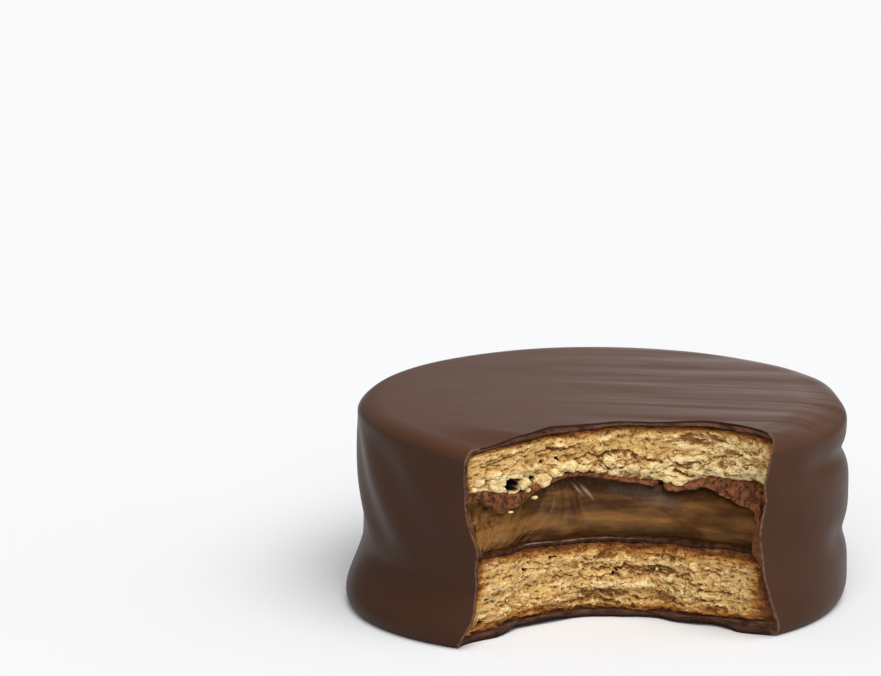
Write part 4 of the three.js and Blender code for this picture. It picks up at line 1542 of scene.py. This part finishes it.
class ALFAJOR_OT_biscuits(bpy.types.Operator):
    """Builds the two biscuits with their broken crumb"""

    bl_idname = "alfajor.biscuits"
    bl_label = "Biscuits"

    def execute(self, context):
        cookie = Cookie(context)
        paint = biscuit_paint(context.scene.alfajor.colours)
        marks = ("hollow", "pale", "toast")
        layers = (
            ("upper_biscuit", UPPER_CRUMB, UPPER_UNDERSIDE, LID_UNDERSIDE,
             (UPPER_LOW, UPPER_HIGH), UPPER_ROWS),
            ("lower_biscuit", LOWER_CRUMB, LIP_TOPSIDE, LOWER_TOPSIDE,
             (LOWER_LOW, LOWER_HIGH), LOWER_ROWS),
        )
        for node, kind, low, high, deep, rows in layers:
            body = layer_body(
                cookie, marks, lambda a, t=low: profile(a, t) - LAYER_OVERLAP,
                lambda a, t=high: profile(a, t) + LAYER_OVERLAP, deep, LAYER_INSET,
                lambda *at, k=kind: crumb_face(cookie, *at, k), BISCUIT_COLUMNS, rows)
            piece = body.build(node + "_crumb", paint)
            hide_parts(node)
        return {"FINISHED"}


class ALFAJOR_OT_filling(bpy.types.Operator):
    """Builds the caramel filling"""

    bl_idname = "alfajor.filling"
    bl_label = "Filling"

    def execute(self, context):
        cookie = Cookie(context)
        body = layer_body(
            cookie, ("veil", "scraped"), lambda a: profile(a, LOWER_TOPSIDE) + 0.3,
            lambda a: np.maximum(profile(a, CRUST_UNDERSIDE), 14) + 0.15,
            (FILLING_LOW, FILLING_HIGH), LAYER_INSET,
            lambda *at: filling_face(cookie, *at), FILLING_COLUMNS, FILLING_ROWS)
        piece = body.build("caramel_filling", caramel_paint(context.scene.alfajor.colours))
        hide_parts("filling")
        return {"FINISHED"}


class ALFAJOR_OT_crusts(bpy.types.Operator):
    """Builds the crust under the upper biscuit and the film on the lower one"""

    bl_idname = "alfajor.crusts"
    bl_label = "Crusts"

    def execute(self, context):
        cookie = Cookie(context)
        colours = context.scene.alfajor.colours
        crust = ribbon_body(cookie, CRUST_COLUMNS, lambda a: crust_section(cookie, a))
        crust.build("baked_crust", crust_paint(colours))
        film = ribbon_body(cookie, FILM_COLUMNS, lambda a: film_section(cookie, a))
        film.build("caramel_film", film_paint(colours))
        return {"FINISHED"}


class ALFAJOR_OT_grains(bpy.types.Operator):
    """Scatters lumps and loose grains over the broken biscuit"""

    bl_idname = "alfajor.grains"
    bl_label = "Lumps and grains"

    def execute(self, context):
        cookie = Cookie(context)
        luck = np.random.default_rng(11)
        grains = []
        for angle, level, radius, wide in LUMPS:
            x, y = cookie.at_bite(angle, cookie.bite(angle, level) + radius * 0.35)
            grains.append(((x, y, level), radius, (wide, 0.95, 0.85)))
        while len(grains) < len(LUMPS) + context.scene.alfajor.granules:
            upper = luck.random() < 0.5
            angle = luck.uniform(22, 152)
            edges = (LIP_TOPSIDE, LOWER_TOPSIDE)
            if upper:
                edges = (UPPER_UNDERSIDE, LID_UNDERSIDE)
            low, high = (profile(angle, edge) for edge in edges)
            level = mix(low + 0.25, high - 0.9, luck.random())
            radius = luck.uniform(0.08, 0.2)
            depth = luck.uniform(0.15, 0.35)
            squash = luck.uniform(0.6, 1.3, 3)
            from_hole = min(
                math.hypot((angle - at) * MM_PER_DEGREE, level - z)
                for at, z, *_ in UPPER_HOLES)
            if from_hole < HOLE_CLEARANCE:
                continue
            x, y = cookie.at_bite(angle, cookie.bite(angle, level) + depth)
            grains.append(((x, y, level), radius, squash))
        mesh = grain_mesh("crumb_grains", grains)
        piece = place("crumb_grains", mesh, grain_paint(context.scene.alfajor.colours))
        return {"FINISHED"}


class ALFAJOR_OT_stage(bpy.types.Operator):
    """Builds the floor, the light and the camera"""

    bl_idname = "alfajor.stage"
    bl_label = "Stage"

    def execute(self, context):
        settings = context.scene.alfajor
        paint = Paint("floor")
        grey = paint.noise(0.002, 2.0, 0.5)
        colour = paint.blend(grey * 0.02, settings.colours.floor, FLOOR_CLOUD)
        material = paint.surface(Base_Color=colour, Roughness=0.9, Specular_IOR_Level=0.0)
        mesh = bpy.data.meshes.new("floor")
        corners = ((-1, -1), (1, -1), (1, 1), (-1, 1))
        mesh.from_pydata(
            [(x * FLOOR_HALF, y * FLOOR_HALF, 0) for x, y in corners], [], [(0, 1, 2, 3)])
        mesh.materials.append(material)
        floor = bpy.data.objects.new("floor", mesh)
        context.collection.objects.link(floor)

        world = bpy.data.worlds.new("surround")
        world.use_nodes = True
        sky = world.node_tree.nodes["Background"].inputs
        sky["Strength"].default_value = settings.studio.surround
        sky["Color"].default_value = (1, 1, 1, 1)
        context.scene.world = world
        for name, (tilt, heading, spread) in SUNS.items():
            light = bpy.data.lights.new(name + "_light", "SUN")
            light.energy = getattr(settings.studio, name) * math.pi
            light.angle = math.radians(spread)
            lamp = bpy.data.objects.new(name + "_light", light)
            lamp.rotation_euler = (math.radians(tilt), 0, math.radians(heading))
            context.collection.objects.link(lamp)

        camera = bpy.data.cameras.new("camera")
        camera.sensor_width = CAMERA_SENSOR
        camera.lens = CAMERA_LENS
        camera.clip_start, camera.clip_end = 0.01, 20
        view = bpy.data.objects.new("camera", camera)
        view.location = CAMERA_PLACE
        view.rotation_euler = (math.pi / 2 - CAMERA_DIP, 0, CAMERA_SWING)
        context.collection.objects.link(view)
        context.scene.camera = view
        context.scene.view_settings.view_transform = "Standard"
        return {"FINISHED"}


class ALFAJOR_PT_panel(bpy.types.Panel):
    """Buttons and sizes of the cookie"""

    bl_idname = "ALFAJOR_PT_panel"
    bl_label = "Bitten alfajor"
    bl_space_type = "VIEW_3D"
    bl_region_type = "UI"
    bl_category = "Alfajor"

    def draw(self, context):
        for operator in OPERATORS:
            self.layout.operator(operator.bl_idname)
        settings = context.scene.alfajor
        for group in (settings.sizes, settings.colours, settings.studio):
            box = self.layout.box()
            for name in type(group).__annotations__:
                box.prop(group, name)
        self.layout.prop(settings, "granules")


OPERATORS = (
    ALFAJOR_OT_coating, ALFAJOR_OT_biscuits, ALFAJOR_OT_filling, ALFAJOR_OT_crusts,
    ALFAJOR_OT_grains, ALFAJOR_OT_stage,
)
CLASSES = (CookieSizes, CookieColours, StudioLights, Alfajor, *OPERATORS, ALFAJOR_PT_panel)


def register():
    for cls in CLASSES:
        bpy.utils.register_class(cls)
    bpy.types.Scene.alfajor = PointerProperty(type=Alfajor)


def unregister():
    del bpy.types.Scene.alfajor
    for cls in reversed(CLASSES):
        bpy.utils.unregister_class(cls)


def main():
    register()
    bpy.ops.alfajor.coating()
    bpy.ops.alfajor.biscuits()
    bpy.ops.alfajor.filling()
    bpy.ops.alfajor.crusts()
    bpy.ops.alfajor.grains()
    bpy.ops.alfajor.stage()


if __name__ == "__main__":
    main()
